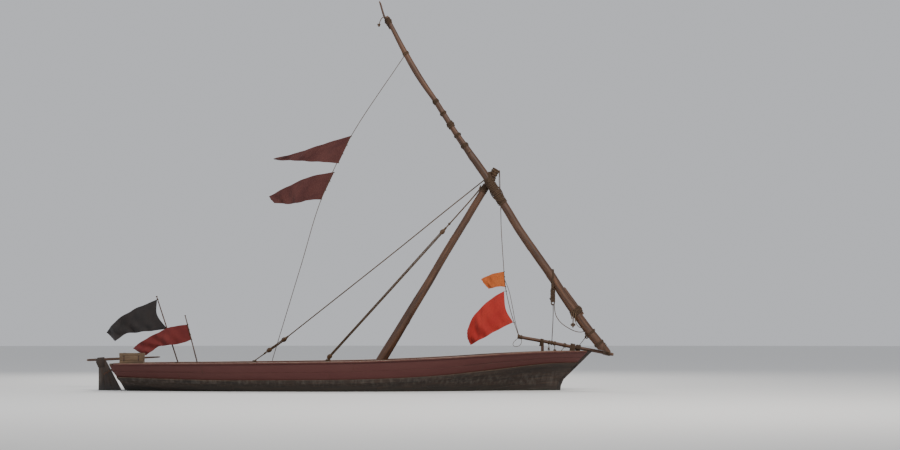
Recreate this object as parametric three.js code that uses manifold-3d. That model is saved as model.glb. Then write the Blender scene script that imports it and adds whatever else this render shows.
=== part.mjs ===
// A lateen-rigged wooden dhow, eleven metres long, with her yard bare and no sail bent on.
// Millimetres. +X towards the bow, +Y to port, +Z up. The origin is amidships on the waterline.
import * as THREE from 'three';
import { mergeVertices } from 'three/addons/utils/BufferGeometryUtils.js';
import Module from 'manifold-3d';

const wasm = await Module();
wasm.setup();
const { Manifold, Mesh: SolidMesh } = wasm;
const dhow = new THREE.Group();

const SEAT = 0.3; // the gap left where one piece rests on another

// Backbone: heights are above the waterline, lengths run along the keel
const HALF_SIDING = 50;
const KEEL_BOTTOM = -550;
const KEEL_TOP = -395;
const GARBOARD_FOOT = -430;
const KEEL_FORE_END = 4400;
const STEM_DEPTH = 300; // fore and aft, from the cutwater to the back of the apron
const RABBET = 90; // the planks end this far behind the cutwater
// The cutwater, from the keel up to the stem head: place along X, height
const CUTWATER = [
  [4400, -550], [4620, -430], [4755, -250], [4825, -60], [4848, 110], [4905, 240], [5555, 876],
];
const POST_HEAD = { x: -5265, z: 597 };
const POST_RAKE = 0.5817; // millimetres aft for each millimetre up
const POST_DEPTH = 110;

// Planking and frames
const PLANK = 38;
const FRAME_DEPTH = 60;
const FRAME_HALF_WIDTH = 32;
const FRAME_STEP = 0.11; // spacing, as a share of the half length
const FRAMES_EACH_WAY = 8;
const FLOOR_TOP = -300; // top of the floor timbers amidships
const FLOOR_HALF_WIDTH = 230; // in the sharp ends a floor timber is as high as the hull is this wide
const RAIL_THICKNESS = 42;
const RAIL_OUTSIDE = 25;
const RAIL_INSIDE = 20;
// Shares of the way up a section where the planking's rows lie; the rub strake is between two of them
const ROWS = [0, 0.09, 0.19, 0.3, 0.42, 0.55, 0.68, 0.79, 0.84, 1];
const STRAKE_ROWS = [7, 8];
const STRAKE_DEPTH = 28;
const HALF_LENGTH = 5200; // turns millimetres along the hull into shares

// The hull's sections. at: share of the half length, -1 at the transom and 1 at the stem.
// halfBeam and railTop: the inside of the planking and the top of the rail.
// lowOut, lowUp, highOut, highUp: the section's two middle control points, as shares of its width and height.
const SECTIONS = [
  { at: -1.0, halfBeam: 800, railTop: 610, lowOut: 0.05, lowUp: 0.5, highOut: 0.66, highUp: 0.42 },
  { at: -0.8, halfBeam: 1000, railTop: 618, lowOut: 0.12, lowUp: 0.34, highOut: 0.78, highUp: 0.32 },
  { at: -0.55, halfBeam: 1170, railTop: 628, lowOut: 0.27, lowUp: 0.15, highOut: 0.89, highUp: 0.24 },
  { at: -0.2, halfBeam: 1285, railTop: 648, lowOut: 0.45, lowUp: 0.05, highOut: 0.95, highUp: 0.22 },
  { at: 0.1, halfBeam: 1295, railTop: 674, lowOut: 0.47, lowUp: 0.05, highOut: 0.95, highUp: 0.22 },
  { at: 0.4, halfBeam: 1190, railTop: 742, lowOut: 0.36, lowUp: 0.1, highOut: 0.9, highUp: 0.28 },
  { at: 0.65, halfBeam: 900, railTop: 828, lowOut: 0.22, lowUp: 0.22, highOut: 0.74, highUp: 0.45 },
  { at: 0.85, halfBeam: 470, railTop: 880, lowOut: 0.2, lowUp: 0.3, highOut: 0.62, highUp: 0.62 },
  { at: 1.0, halfBeam: 51, railTop: 884, lowOut: 0.33, lowUp: 0.33, highOut: 0.66, highUp: 0.66 },
];

// Decks, thwarts and what stands on them
const FOREDECK = { from: 0.735, to: 0.957, top: 800, thick: 28 };
const AFT_DECK = { from: -0.976, to: -0.64, top: 450, thick: 30 };
const KEELSON = { from: -4150, to: 4150, half: 60, low: -345, top: -230 };
const BOARDS = { from: -2080, to: 1820, thick: 26, width: 170, gap: 9, eachSide: 2 };
const BATTENS = { at: [-1415, -283, 1415], half: 40, thick: 30 };
const THWARTS = [
  { name: 'thwart_aft', at: -0.385, top: 335 },
  { name: 'thwart_middle', at: -0.055, top: 350 },
  { name: 'thwart_fore', at: 0.385, top: 420 },
  { name: 'thwart_bow', at: 0.605, top: 480 },
];
const THWART = { halfWidth: 125, thick: 42 };
const PARTNER = { at: 0.163, halfWidth: 200, top: 560, thick: 64 };
const MAST_STEP = { from: 60, to: 560, halfWidth: 110, top: -110 };

// Spars: the mast rakes forward, the yard crosses it to starboard
const MAST_AT_WATER = 419;
const MAST_RAKE = 0.601; // millimetres forward for each millimetre up
// Height and radius of the mast
const MAST_RADII = [[-165, 112], [630, 116], [2700, 88], [4300, 80], [4973, 77]];
const YARD_SIDE = -195; // the yard's plane, to starboard of the mast
// The upper spar lies on the outer side of the lower one where they overlap, and is lashed to it there.
// X, Z, radius, and the place across where it isn't the yard's plane
const LOWER_SPAR = [
  [5874, 800, 108], [5669, 1079, 104], [5358, 1481, 102], [4968, 2018, 99], [4545, 2689, 97],
  [4065, 3362, 95], [3640, 4037, 92], [3225, 4712, 88], [2994, 5050, 87], [2848, 5253, 83],
  [2710, 5456, 76], [2427, 5862, 62], [2165, 6264, 53], [1960, 6590, 46],
];
const UPPER_SPAR = [
  [2795, 5330, 48, -329], [2568, 5659, 55, -323], [2301, 6066, 60, -315], [2042, 6468, 58, -307],
  [1765, 6875, 66, -300], [1570, 7190, 70, -294], [1403, 7487, 65, -288], [1229, 7810, 56, -282],
  [1077, 8099, 50, -276], [925, 8400, 48, -271],
];
const PEAK_POLE = [[1010, 8120, 22, -215], [880, 8400, 23, -215], [790, 8700, 22, -215], [765, 8756, 20, -215]];
const HEEL_FISH = [[5330, 1690, 44], [5110, 1985, 50], [4900, 2290, 42]];
const BOWSPRIT = { aft: [3876, 1202], fore: [6031, 800], radius: 38 };
const BOWSPRIT_POST = { x: 4435, half: 32 };
const CHOCK = { aft: 5060, fore: 5165, half: 70 };
const STEM_LASHING = { x: 5236, thick: 18, long: 110 };
const TACK = { x: 5905, thick: 38, long: 120 };
const HEEL_CUT = 42; // the yard's heel is sawn off this high above the bowsprit's middle, along it

// Rudder, hung on the raked sternpost
const RUDDER_GAP = 60; // from the post to the blade, along X
const RUDDER = { half: 27, trailing: -5522, foot: -520, head: 705 };
const HINGES = [{ name: 'upper', z: 430 }, { name: 'lower', z: -360 }];
const IRON = { bore: 13, pin: 11.5, ring: 20, half: 20, cheek: 8, onPost: 86, onBlade: 190 };
// Aft end, at the rudder, and fore end, each with its radius: X, Z, radius
const TILLER = [[-5788, 672, 26], [-5250, 696, 30], [-4150, 744, 16]];

// Locker on the aft deck, to starboard of the tiller
const LOCKER = { aft: -4933, fore: -4409, inboard: -522, outboard: -750, top: 778, wall: 22 };
const LID = { top: 838, overhang: 8 };

// Flagpoles on the port side of the aft deck: foot and head, as X, Y, Z
const POLES = [
  { name: 'flagpole_aft', foot: [-3823, 900, 450], head: [-4372, 900, 2110], radius: 15 },
  { name: 'flagpole_fore', foot: [-3372, 760, 450], head: [-3696, 760, 1669], radius: 14 },
];

// Lines. Each runs through its points, as X, Y, Z
const AFT_LINE = {
  radius: 8,
  points: [[1325, -262, 7500], [128, 161, 5757], [-576, 453, 4316], [-1060, 760, 2800], [-1747, 1240, 615]],
};
const FORE_LINE = {
  radius: 7,
  points: [[3482, 0, 4890], [3516, 0, 3597], [3562, 0, 2849], [3608, 0, 2309], [3710, 0, 1823], [3793, 0, 1540],
    [3895, 0, 1235]],
};
// Each leaves the mast above the sling and stands out from it there, so it passes clear of the sling
// pendant: how far up from the rail to the upper block the lower one hangs
const BACKSTAY = { mast: 4922, out: 175, block: [-1455, 1030, 1130], rail: [-2160, 1240, 641], pendant: 0.5 };
const HALYARD = { mast: 4866, out: 130, block: [2188, 300, 3573], rail: [-466, 1301, 691], pendant: 0 };

// Turns of rope: at the masthead, round mast and yard, and along the yard
const MASTHEAD = { z: 4520, thick: 12, long: 180 };
const SLING = { z: 4780, clearance: 5.5, thick: 24, wide: 130, yard: [3231, 4700], onYard: 90 };
const LASHING_DEPTH = 34;
// wide: how many times as wide across the boat as along the yard's plane
const YARD_LASHINGS = [
  { name: 'middle', x: 2375, y: -257, z: 5950, rows: LOWER_SPAR, inside: 64, wide: 1.9, long: 150 },
  { name: 'peak', x: 972, y: -256, z: 8296, rows: UPPER_SPAR, inside: 58, wide: 1.15, long: 150 },
  { name: 'heel', x: 5180, y: -205, z: 1760, rows: LOWER_SPAR, inside: 98, wide: 1, long: 150 },
];
const HANGING_BUNDLE = [[4656, 2560, 18], [4656, 2353, 50], [4656, 2120, 54], [4655, 1900, 30]];

const WOOD = { hull: 0x24160f, keel: 0x1d130d, spar: 0x4a2c1a, deck: 0x5a4330, trim: 0x46190f };
const ROPE = 0x8a7350;
const IRON_GREY = 0x3a3430;
const FLAG = { black: 0x14100f, red: 0x5c1013, maroon: 0x2b1210, orange: 0x7a2a0c, bright: 0x7c0f0d };

// Interpolation along the table of sections

function along(key, at) {
  const last = SECTIONS.length - 1;
  let i = 0;
  while (i < last - 1 && at > SECTIONS[i + 1].at) i += 1;
  const [a, b] = [SECTIONS[i], SECTIONS[i + 1]];
  const before = SECTIONS[Math.max(i - 1, 0)];
  const after = SECTIONS[Math.min(i + 2, last)];
  const span = b.at - a.at;
  const slopeA = (b[key] - before[key]) / (b.at - before.at) * span;
  const slopeB = (after[key] - a[key]) / (after.at - a.at) * span;
  const u = (at - a.at) / span;
  return a[key] * (2 * u ** 3 - 3 * u ** 2 + 1) + slopeA * (u ** 3 - 2 * u ** 2 + u)
    + b[key] * (3 * u ** 2 - 2 * u ** 3) + slopeB * (u ** 3 - u ** 2);
}

function onLine(points, value, from, to) {
  let i = 0;
  while (i < points.length - 2 && value > points[i + 1][from]) i += 1;
  const [a, b] = [points[i], points[i + 1]];
  return a[to] + (b[to] - a[to]) * (value - a[from]) / (b[from] - a[from]);
}

// The point of a route, which falls all the way, at a height
function routeAt(points, z) {
  const i = Math.max(points.findIndex((point) => point[2] < z) - 1, 0);
  const [a, b] = [points[i], points[i + 1]];
  const share = (z - a[2]) / (b[2] - a[2]);
  return a.map((value, k) => value + (b[k] - value) * share);
}

const cutwater = (z) => onLine(CUTWATER, z, 1, 0);
const postAft = (z) => POST_HEAD.x + POST_RAKE * (POST_HEAD.z - z);
const transomAft = (z) => postAft(z) + POST_DEPTH;
const mastX = (z) => MAST_AT_WATER + MAST_RAKE * z;
const bowspritZ = (x) => BOWSPRIT.aft[1]
  + (BOWSPRIT.fore[1] - BOWSPRIT.aft[1]) * (x - BOWSPRIT.aft[0]) / (BOWSPRIT.fore[0] - BOWSPRIT.aft[0]);

// The inside of the port planking at a share along and a share up
function skinPoint(at, up) {
  const top = along('railTop', at) - RAIL_THICKNESS;
  const foot = GARBOARD_FOOT;
  const inner = HALF_SIDING + SEAT;
  const wide = along('halfBeam', at) - inner;
  const high = top - foot;
  const b = [(1 - up) ** 3, 3 * up * (1 - up) ** 2, 3 * up ** 2 * (1 - up), up ** 3];
  const y = inner + wide * (b[1] * along('lowOut', at) + b[2] * along('highOut', at) + b[3]);
  const z = foot + high * (b[1] * along('lowUp', at) + b[2] * along('highUp', at) + b[3]);
  const x = at >= 0 ? at * (cutwater(z) - RABBET) : -at * transomAft(z);
  return new THREE.Vector3(x, y, z);
}

// The same, moved inwards by a depth; the top row stays level
function skin(at, up, depth) {
  const here = skinPoint(at, up);
  const step = 0.004;
  const [a0, a1] = [Math.max(at - step, -1), Math.min(at + step, 1)];
  const [u0, u1] = [Math.max(up - step, 0), Math.min(up + step, 1)];
  const alongHull = skinPoint(a1, up).sub(skinPoint(a0, up));
  const upHull = skinPoint(at, u1).sub(skinPoint(at, u0));
  const inward = upHull.cross(alongHull).normalize();
  if (inward.y > 0) inward.negate();
  inward.x *= 1 - at ** 10;
  inward.z *= 1 - up ** 6;
  return here.addScaledVector(inward.normalize(), depth);
}

// The half breadth inside the planking at a height
function breadthAt(at, z, depth = 0) {
  let [low, high] = [0, 1];
  for (let i = 0; i < 30; i += 1) {
    const middle = (low + high) / 2;
    if (skin(at, middle, depth).z < z) low = middle; else high = middle;
  }
  return skin(at, low, depth).y;
}

// Geometry helpers

function closed(vertices, triangles) {
  const geometry = new THREE.BufferGeometry();
  geometry.setAttribute('position', new THREE.Float32BufferAttribute(vertices.flatMap((v) => [v.x, v.y, v.z]), 3));
  let volume = 0;
  for (const [a, b, c] of triangles) volume += vertices[a].dot(vertices[b].clone().cross(vertices[c]));
  geometry.setIndex(triangles.flatMap(([a, b, c]) => (volume > 0 ? [a, b, c] : [a, c, b])));
  return geometry;
}

// A closed body between two grids of points of the same size
function slab(gridA, gridB) {
  const rows = gridA.length;
  const columns = gridA[0].length;
  const vertices = [...gridA.flat(), ...gridB.flat()];
  const a = (i, j) => i * columns + j;
  const b = (i, j) => rows * columns + i * columns + j;
  const triangles = [];
  const quad = (p, q, r, s) => triangles.push([p, q, r], [p, r, s]);
  for (let i = 0; i < rows - 1; i += 1) {
    for (let j = 0; j < columns - 1; j += 1) {
      quad(a(i, j), a(i + 1, j), a(i + 1, j + 1), a(i, j + 1));
      triangles.push([b(i, j), b(i + 1, j + 1), b(i + 1, j)], [b(i, j), b(i, j + 1), b(i + 1, j + 1)]);
    }
    quad(a(i, 0), b(i, 0), b(i + 1, 0), a(i + 1, 0));
    quad(a(i, columns - 1), a(i + 1, columns - 1), b(i + 1, columns - 1), b(i, columns - 1));
  }
  for (let j = 0; j < columns - 1; j += 1) {
    quad(a(0, j), a(0, j + 1), b(0, j + 1), b(0, j));
    quad(a(rows - 1, j), b(rows - 1, j), b(rows - 1, j + 1), a(rows - 1, j + 1));
  }
  return closed(vertices, triangles);
}

// A closed body through rings of points; the ends are capped from their middles
function loft(rings) {
  const count = rings[0].length;
  const vertices = rings.flat();
  const triangles = [];
  for (let i = 0; i < rings.length - 1; i += 1) {
    for (let j = 0; j < count; j += 1) {
      const k = (j + 1) % count;
      triangles.push([i * count + j, (i + 1) * count + j, (i + 1) * count + k]);
      triangles.push([i * count + j, (i + 1) * count + k, i * count + k]);
    }
  }
  const middle = (ring) => ring.reduce((sum, p) => sum.add(p), new THREE.Vector3()).divideScalar(count);
  const first = vertices.push(middle(rings[0])) - 1;
  const last = vertices.push(middle(rings.at(-1))) - 1;
  const base = (rings.length - 1) * count;
  for (let j = 0; j < count; j += 1) {
    const k = (j + 1) % count;
    triangles.push([first, j, k], [last, base + k, base + j]);
  }
  return closed(vertices, triangles);
}

// A round bar through points, each with its own radius; grow makes it bigger all over
function bar(line, radii, sides, grow = 0) {
  const points = line.map((point) => point.clone());
  points[0].add(line[0].clone().sub(line[1]).setLength(grow));
  points.at(-1).add(line.at(-1).clone().sub(line.at(-2)).setLength(grow));
  const rings = points.map((point, i) => {
    const before = points[Math.max(i - 1, 0)];
    const after = points[Math.min(i + 1, points.length - 1)];
    const tangent = after.clone().sub(before).normalize();
    const across = new THREE.Vector3(0, 1, 0);
    const out = tangent.clone().cross(across).normalize();
    across.copy(out).cross(tangent).normalize();
    return Array.from({ length: sides }, (_, j) => {
      const angle = 2 * Math.PI * (j + 0.5) / sides;
      return point.clone().addScaledVector(across, (radii[i] + grow) * Math.cos(angle))
        .addScaledVector(out, (radii[i] + grow) * Math.sin(angle));
    });
  });
  return loft(rings);
}

const vectors = (points) => points.map(([x, y, z]) => new THREE.Vector3(x, y, z));
const sparBar = (rows, side, grow = 0, sides = 14) => bar(
  rows.map(([x, z, , across = side]) => new THREE.Vector3(x, across, z)), rows.map((row) => row[2]), sides, grow);
const rope = (points, radius, grow = 0, sides = 8) => bar(vectors(points), points.map(() => radius), sides, grow);

// A flat outline in X and Z, extruded across the hull from one side to the other
function acrossHull(outline, half, middle = 0) {
  const shape = new THREE.Shape(outline.map(([x, z]) => new THREE.Vector2(x, z)));
  const geometry = new THREE.ExtrudeGeometry(shape, { depth: 2 * half, bevelEnabled: false });
  return geometry.rotateX(Math.PI / 2).translate(0, middle + half, 0);
}

function block(x, y, z) {
  const geometry = new THREE.BoxGeometry(x[1] - x[0], y[1] - y[0], z[1] - z[0]);
  return geometry.translate((x[0] + x[1]) / 2, (y[0] + y[1]) / 2, (z[0] + z[1]) / 2);
}

const TURN_SIDES = 18;
// Turns of rope round a spar: a ring with rounded edges about a place and a direction
function turns(place, direction, inside, thick, long, grow = 0) {
  const flats = Math.cos(Math.PI / TURN_SIDES);
  const [inner, outer, half] = [(inside - grow) / flats, inside + thick + grow, long / 2 + grow];
  const soft = thick * 0.4;
  const profile = [
    [inner, -half], [outer - soft, -half], [outer, -half + soft], [outer, half - soft],
    [outer - soft, half], [inner, half], [inner, -half],
  ].map(([r, h]) => new THREE.Vector2(r, h));
  const geometry = new THREE.LatheGeometry(profile, TURN_SIDES);
  const turn = new THREE.Quaternion().setFromUnitVectors(new THREE.Vector3(0, 1, 0), direction.clone().normalize());
  return geometry.applyQuaternion(turn).translate(place.x, place.y, place.z);
}

function solid(geometry) {
  const plain = geometry.clone();
  plain.deleteAttribute('normal');
  plain.deleteAttribute('uv');
  const merged = mergeVertices(plain, 1e-4);
  return new Manifold(new SolidMesh({
    numProp: 3,
    vertProperties: new Float32Array(merged.attributes.position.array),
    triVerts: new Uint32Array(merged.index.array),
  }));
}

function shape(manifold) {
  const mesh = manifold.getMesh();
  const geometry = new THREE.BufferGeometry();
  geometry.setAttribute('position', new THREE.BufferAttribute(new Float32Array(mesh.vertProperties), 3));
  geometry.setIndex(new THREE.BufferAttribute(new Uint32Array(mesh.triVerts), 1));
  return geometry;
}

const joined = (parts) => parts.slice(1).reduce((sum, part) => sum.add(part), parts[0]);
const cutBy = (part, cutters) => cutters.reduce((left, cutter) => left.subtract(cutter), part);

function place(name, geometry, colour, roughness = 0.8) {
  const material = new THREE.MeshStandardMaterial({ color: colour, roughness, metalness: 0 });
  const mesh = new THREE.Mesh(geometry, material);
  mesh.name = name;
  dhow.add(mesh);
}

const mirrored = (grid) => grid.map((row) => row.map((p) => new THREE.Vector3(p.x, -p.y, p.z)));

// Stations: both edges of every frame, and the ends

const frameStations = Array.from({ length: 2 * FRAMES_EACH_WAY + 1 }, (_, i) => (i - FRAMES_EACH_WAY) * FRAME_STEP);
const edge = FRAME_HALF_WIDTH / HALF_LENGTH;
const stations = [-1, -0.94, ...frameStations.flatMap((at) => [at - edge, at + edge]), 0.93, 0.97, 1];

// Backbone

function stemGeometry(grow = 0) {
  const back = [[5555 - STEM_DEPTH, 876], [4905 - STEM_DEPTH, 240], [4848 - STEM_DEPTH, 60], [4500, -250]];
  const outline = [...CUTWATER, ...back, [KEEL_FORE_END + 15, KEEL_TOP], [KEEL_FORE_END, KEEL_TOP]];
  return acrossHull(outline, HALF_SIDING + grow);
}

function keelGeometry() {
  const end = (z) => transomAft(z) + SEAT;
  return acrossHull([
    [end(KEEL_BOTTOM), KEEL_BOTTOM], [KEEL_FORE_END - SEAT, KEEL_BOTTOM],
    [KEEL_FORE_END - SEAT, KEEL_TOP], [end(KEEL_TOP), KEEL_TOP],
  ], HALF_SIDING);
}

const postGeometry = (grow = 0) => acrossHull([
  [postAft(KEEL_BOTTOM), KEEL_BOTTOM], [transomAft(KEEL_BOTTOM), KEEL_BOTTOM],
  [transomAft(POST_HEAD.z), POST_HEAD.z], [postAft(POST_HEAD.z), POST_HEAD.z],
], HALF_SIDING + grow);

place('keel', keelGeometry(), WOOD.keel);
place('sternpost', postGeometry(), WOOD.keel);

// Planking, frames, rails and rub strakes

const skinGrid = (ats, ups, depth) => ats.map((at) => ups.map((up) => skin(at, up, depth)));

function plankingGeometry(side, grow = 0) {
  const inside = skinGrid(stations, ROWS, grow);
  const outside = skinGrid(stations, ROWS, -PLANK - grow);
  return side > 0 ? slab(inside, outside) : slab(mirrored(inside), mirrored(outside));
}

// One frame goes from rail to rail across the keel: futtocks at the sides, a floor timber in the middle.
// Its two halves are alike and meet a little past the middle.
function frameSolid(at, grow = 0) {
  const floorTop = (share) => {
    let up = 0;
    while (up < 1 && skinPoint(share, up).y < FLOOR_HALF_WIDTH) up += 0.01;
    return Math.max(FLOOR_TOP, skinPoint(share, up).z);
  };
  const half = (share) => {
    const top = floorTop(share) + grow;
    const outer = ROWS.slice(1).map((up) => skin(share, up, SEAT - grow));
    const inner = ROWS.slice(1).map((up) => {
      const deep = skin(share, up, FRAME_DEPTH + grow);
      const wide = skinPoint(share, up);
      return wide.y < FLOOR_HALF_WIDTH || deep.z < top ? new THREE.Vector3(wide.x, wide.y * 0.92, top) : deep;
    });
    const nearKeel = HALF_SIDING + 2;
    for (const y of [nearKeel, -5]) {
      outer.unshift(new THREE.Vector3(outer[0].x, y, KEEL_TOP + SEAT - grow));
      inner.unshift(new THREE.Vector3(inner[0].x, y, top));
    }
    return { outer, inner };
  };
  const cut = edge + grow / HALF_LENGTH;
  const edges = [at - cut, at + cut].map(half);
  const outerGrid = edges.map(({ outer }) => outer);
  const innerGrid = edges.map(({ inner }) => inner);
  return solid(slab(outerGrid, innerGrid)).add(solid(slab(mirrored(outerGrid), mirrored(innerGrid))));
}

const frameSolids = frameStations.map((at) => frameSolid(at));

function railGeometry(side, grow = 0) {
  const from = -0.983;
  const ats = [from, ...stations.filter((at) => at > from)];
  const across = (at, height) => {
    const outer = skin(at, 1, -PLANK - RAIL_OUTSIDE - grow);
    const inner = skin(at, 1, FRAME_DEPTH + RAIL_INSIDE + grow);
    inner.y = Math.max(inner.y, HALF_SIDING + 2 * SEAT);
    return [outer, inner].map((p) => new THREE.Vector3(p.x, p.y, p.z + height));
  };
  const low = ats.map((at) => across(at, SEAT));
  const high = ats.map((at) => across(at, RAIL_THICKNESS + grow));
  return side > 0 ? slab(low, high) : slab(mirrored(low), mirrored(high));
}

// The rub strake stands on the planking's own rows
function strakeGeometry(side) {
  const ups = STRAKE_ROWS.map((row) => ROWS[row]);
  const ats = stations.slice(1, -1);
  const [low, high] = [skinGrid(ats, ups, -PLANK / 2), skinGrid(ats, ups, -PLANK - STRAKE_DEPTH)];
  return side > 0 ? slab(low, high) : slab(mirrored(low), mirrored(high));
}

for (const [name, side] of [['port', 1], ['starboard', -1]]) {
  place(`planking_${name}`, shape(solid(plankingGeometry(side)).add(solid(strakeGeometry(side)))), WOOD.hull);
  place(`rail_${name}`, railGeometry(side), WOOD.trim);
}
// The keelson runs over every floor timber, so the frames and it are one piece
const keelson = solid(block([KEELSON.from, KEELSON.to], [-KEELSON.half, KEELSON.half], [KEELSON.low, KEELSON.top]));
place('frames', shape(joined([keelson, ...frameSolids])), WOOD.hull);

const TRANSOM_THICK = 45;
function transomGeometry(grow = 0) {
  const face = (at) => ROWS.map((up) => {
    const port = skin(at, up, SEAT - grow);
    port.z = Math.max(port.z, KEEL_TOP + SEAT);
    if (at === -1) port.x += SEAT;
    return [port, new THREE.Vector3(port.x, -port.y, port.z)];
  });
  return slab(face(-1), face(-1 + (TRANSOM_THICK + grow) / HALF_LENGTH));
}
// The cap lies on the planks' ends and is let down into the transom between them
const TRANSOM_CAP = { aft: -5136, fore: -5075, half: 862, low: 568.3, high: 610, tongue: 740, depth: 30 };
const cap = solid(block([TRANSOM_CAP.aft, TRANSOM_CAP.fore], [-TRANSOM_CAP.half, TRANSOM_CAP.half],
  [TRANSOM_CAP.low, TRANSOM_CAP.high]));
const tongue = solid(block([TRANSOM_CAP.aft + 20, TRANSOM_CAP.fore], [-TRANSOM_CAP.tongue, TRANSOM_CAP.tongue],
  [TRANSOM_CAP.low - TRANSOM_CAP.depth, TRANSOM_CAP.low + 1]));
const transomCutters = [solid(postGeometry(SEAT).translate(SEAT, 0, 0)),
  ...[1, -1].map((side) => solid(plankingGeometry(side, SEAT)))];
place('transom', shape(cutBy(joined([solid(transomGeometry()), cap, tongue]), transomCutters)), WOOD.hull);

// What the decks, thwarts and boards are scribed to
const shell = [
  solid(plankingGeometry(1, SEAT)), solid(plankingGeometry(-1, SEAT)), solid(stemGeometry(SEAT)),
  solid(transomGeometry(SEAT)), ...frameStations.map((at) => frameSolid(at, SEAT)),
  solid(block([KEELSON.from, KEELSON.to], [-KEELSON.half - SEAT, KEELSON.half + SEAT],
    [KEELSON.low, KEELSON.top + SEAT])),
];

// A level plate from side to side, let into the middle of the planks before it is scribed
function plate(from, to, low, high, steps) {
  const grid = (z) => Array.from({ length: steps + 1 }, (_, i) => {
    const at = from + (to - from) * i / steps;
    const y = breadthAt(at, z) + PLANK * 0.4;
    const x = at >= 0 ? at * (cutwater(z) - RABBET) : -at * transomAft(z);
    return [new THREE.Vector3(x, -y, z), new THREE.Vector3(x, y, z)];
  });
  return solid(slab(grid(low), grid(high)));
}

const inX = (share) => share / HALF_LENGTH;
const mastSolid = (grow) => solid(sparBar(MAST_RADII.map(([z, radius]) => [mastX(z), z, radius]), 0, grow, 16));

place('foredeck', shape(cutBy(
  plate(FOREDECK.from, FOREDECK.to, FOREDECK.top - FOREDECK.thick, FOREDECK.top, 8), shell)), WOOD.deck);
place('aft_deck', shape(cutBy(
  plate(AFT_DECK.from, AFT_DECK.to, AFT_DECK.top - AFT_DECK.thick, AFT_DECK.top, 8), shell)), WOOD.deck);
for (const { name, at, top } of THWARTS) {
  const half = inX(THWART.halfWidth);
  place(name, shape(cutBy(plate(at - half, at + half, top - THWART.thick, top, 1), shell)), WOOD.deck);
}
const partnerHalf = inX(PARTNER.halfWidth);
place('mast_partner', shape(cutBy(
  plate(PARTNER.at - partnerHalf, PARTNER.at + partnerHalf, PARTNER.top - PARTNER.thick, PARTNER.top, 1),
  [...shell, mastSolid(SEAT)])), WOOD.hull);

const mastStep = cutBy(
  solid(block([MAST_STEP.from, MAST_STEP.to], [-MAST_STEP.halfWidth, MAST_STEP.halfWidth],
    [KEELSON.top + SEAT, MAST_STEP.top])), [mastSolid(SEAT)]);
place('mast_step', shape(mastStep), WOOD.keel);

// The boards beside the keelson on one side, with battens under them between the frames
function floorboards(side) {
  const across = (from, to) => [side * from, side * to].sort((a, b) => a - b);
  const first = KEELSON.half + BOARDS.gap;
  const boards = Array.from({ length: BOARDS.eachSide }, (_, i) => {
    const inner = first + i * (BOARDS.width + BOARDS.gap);
    return solid(block([BOARDS.from, BOARDS.to], across(inner, inner + BOARDS.width),
      [FLOOR_TOP + SEAT, FLOOR_TOP + BOARDS.thick]));
  });
  const width = BOARDS.eachSide * (BOARDS.width + BOARDS.gap) - BOARDS.gap;
  const battens = BATTENS.at.map((x) => solid(block([x - BATTENS.half, x + BATTENS.half],
    across(first, first + width), [FLOOR_TOP - BATTENS.thick, FLOOR_TOP + BOARDS.thick / 2])));
  return cutBy(joined([...boards, ...battens]), shell);
}
place('floorboards_port', shape(floorboards(1)), WOOD.deck);
place('floorboards_starboard', shape(floorboards(-1)), WOOD.deck);

// Mast

place('mast', shape(mastSolid(0)), WOOD.spar);
const mastAxis = new THREE.Vector3(MAST_RAKE, 0, 1).normalize();
const mastRadius = (z) => onLine(MAST_RADII, z, 0, 1);
const atMast = (z) => new THREE.Vector3(mastX(z), 0, z);
const mastheadInside = mastRadius(MASTHEAD.z - MASTHEAD.long / 2) + SEAT;
place('masthead_lashing', turns(atMast(MASTHEAD.z), mastAxis, mastheadInside, MASTHEAD.thick, MASTHEAD.long), ROPE, 0.95);

// Yard: two spars side by side, a light pole at the peak and a fish at the heel

const alongBowsprit = (x, rise) => [x, bowspritZ(x) + rise];
// What is sawn away: from abaft the bowsprit's fore end to before it, down past the heel, to each side of the spar
const SAWN = { abaft: 600, before: 100, down: 400, half: 200 };
const [heelFrom, heelTo] = [BOWSPRIT.fore[0] - SAWN.abaft, BOWSPRIT.fore[0] + SAWN.before];
const underHeel = acrossHull([
  alongBowsprit(heelFrom, HEEL_CUT), alongBowsprit(heelTo, HEEL_CUT),
  alongBowsprit(heelTo, -SAWN.down), alongBowsprit(heelFrom, -SAWN.down)], SAWN.half, YARD_SIDE);
const lowerSolid = solid(sparBar(LOWER_SPAR, YARD_SIDE)).subtract(solid(underHeel));
const upperSolid = solid(sparBar(UPPER_SPAR, YARD_SIDE));
place('yard_lower_spar', shape(lowerSolid), WOOD.spar);
place('yard_upper_spar', shape(cutBy(upperSolid, [solid(sparBar(LOWER_SPAR, YARD_SIDE, 2 * SEAT))])), WOOD.spar);
place('yard_peak_pole', shape(cutBy(solid(sparBar(PEAK_POLE, YARD_SIDE, 0, 10)),
  [solid(sparBar(UPPER_SPAR, YARD_SIDE, 2 * SEAT))])), WOOD.spar);
place('yard_heel_fish', shape(cutBy(solid(sparBar(HEEL_FISH, YARD_SIDE, 0, 10)),
  [solid(sparBar(LOWER_SPAR, YARD_SIDE, 2 * SEAT))])), WOOD.spar);

// Bowsprit on its post and the stem head

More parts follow.
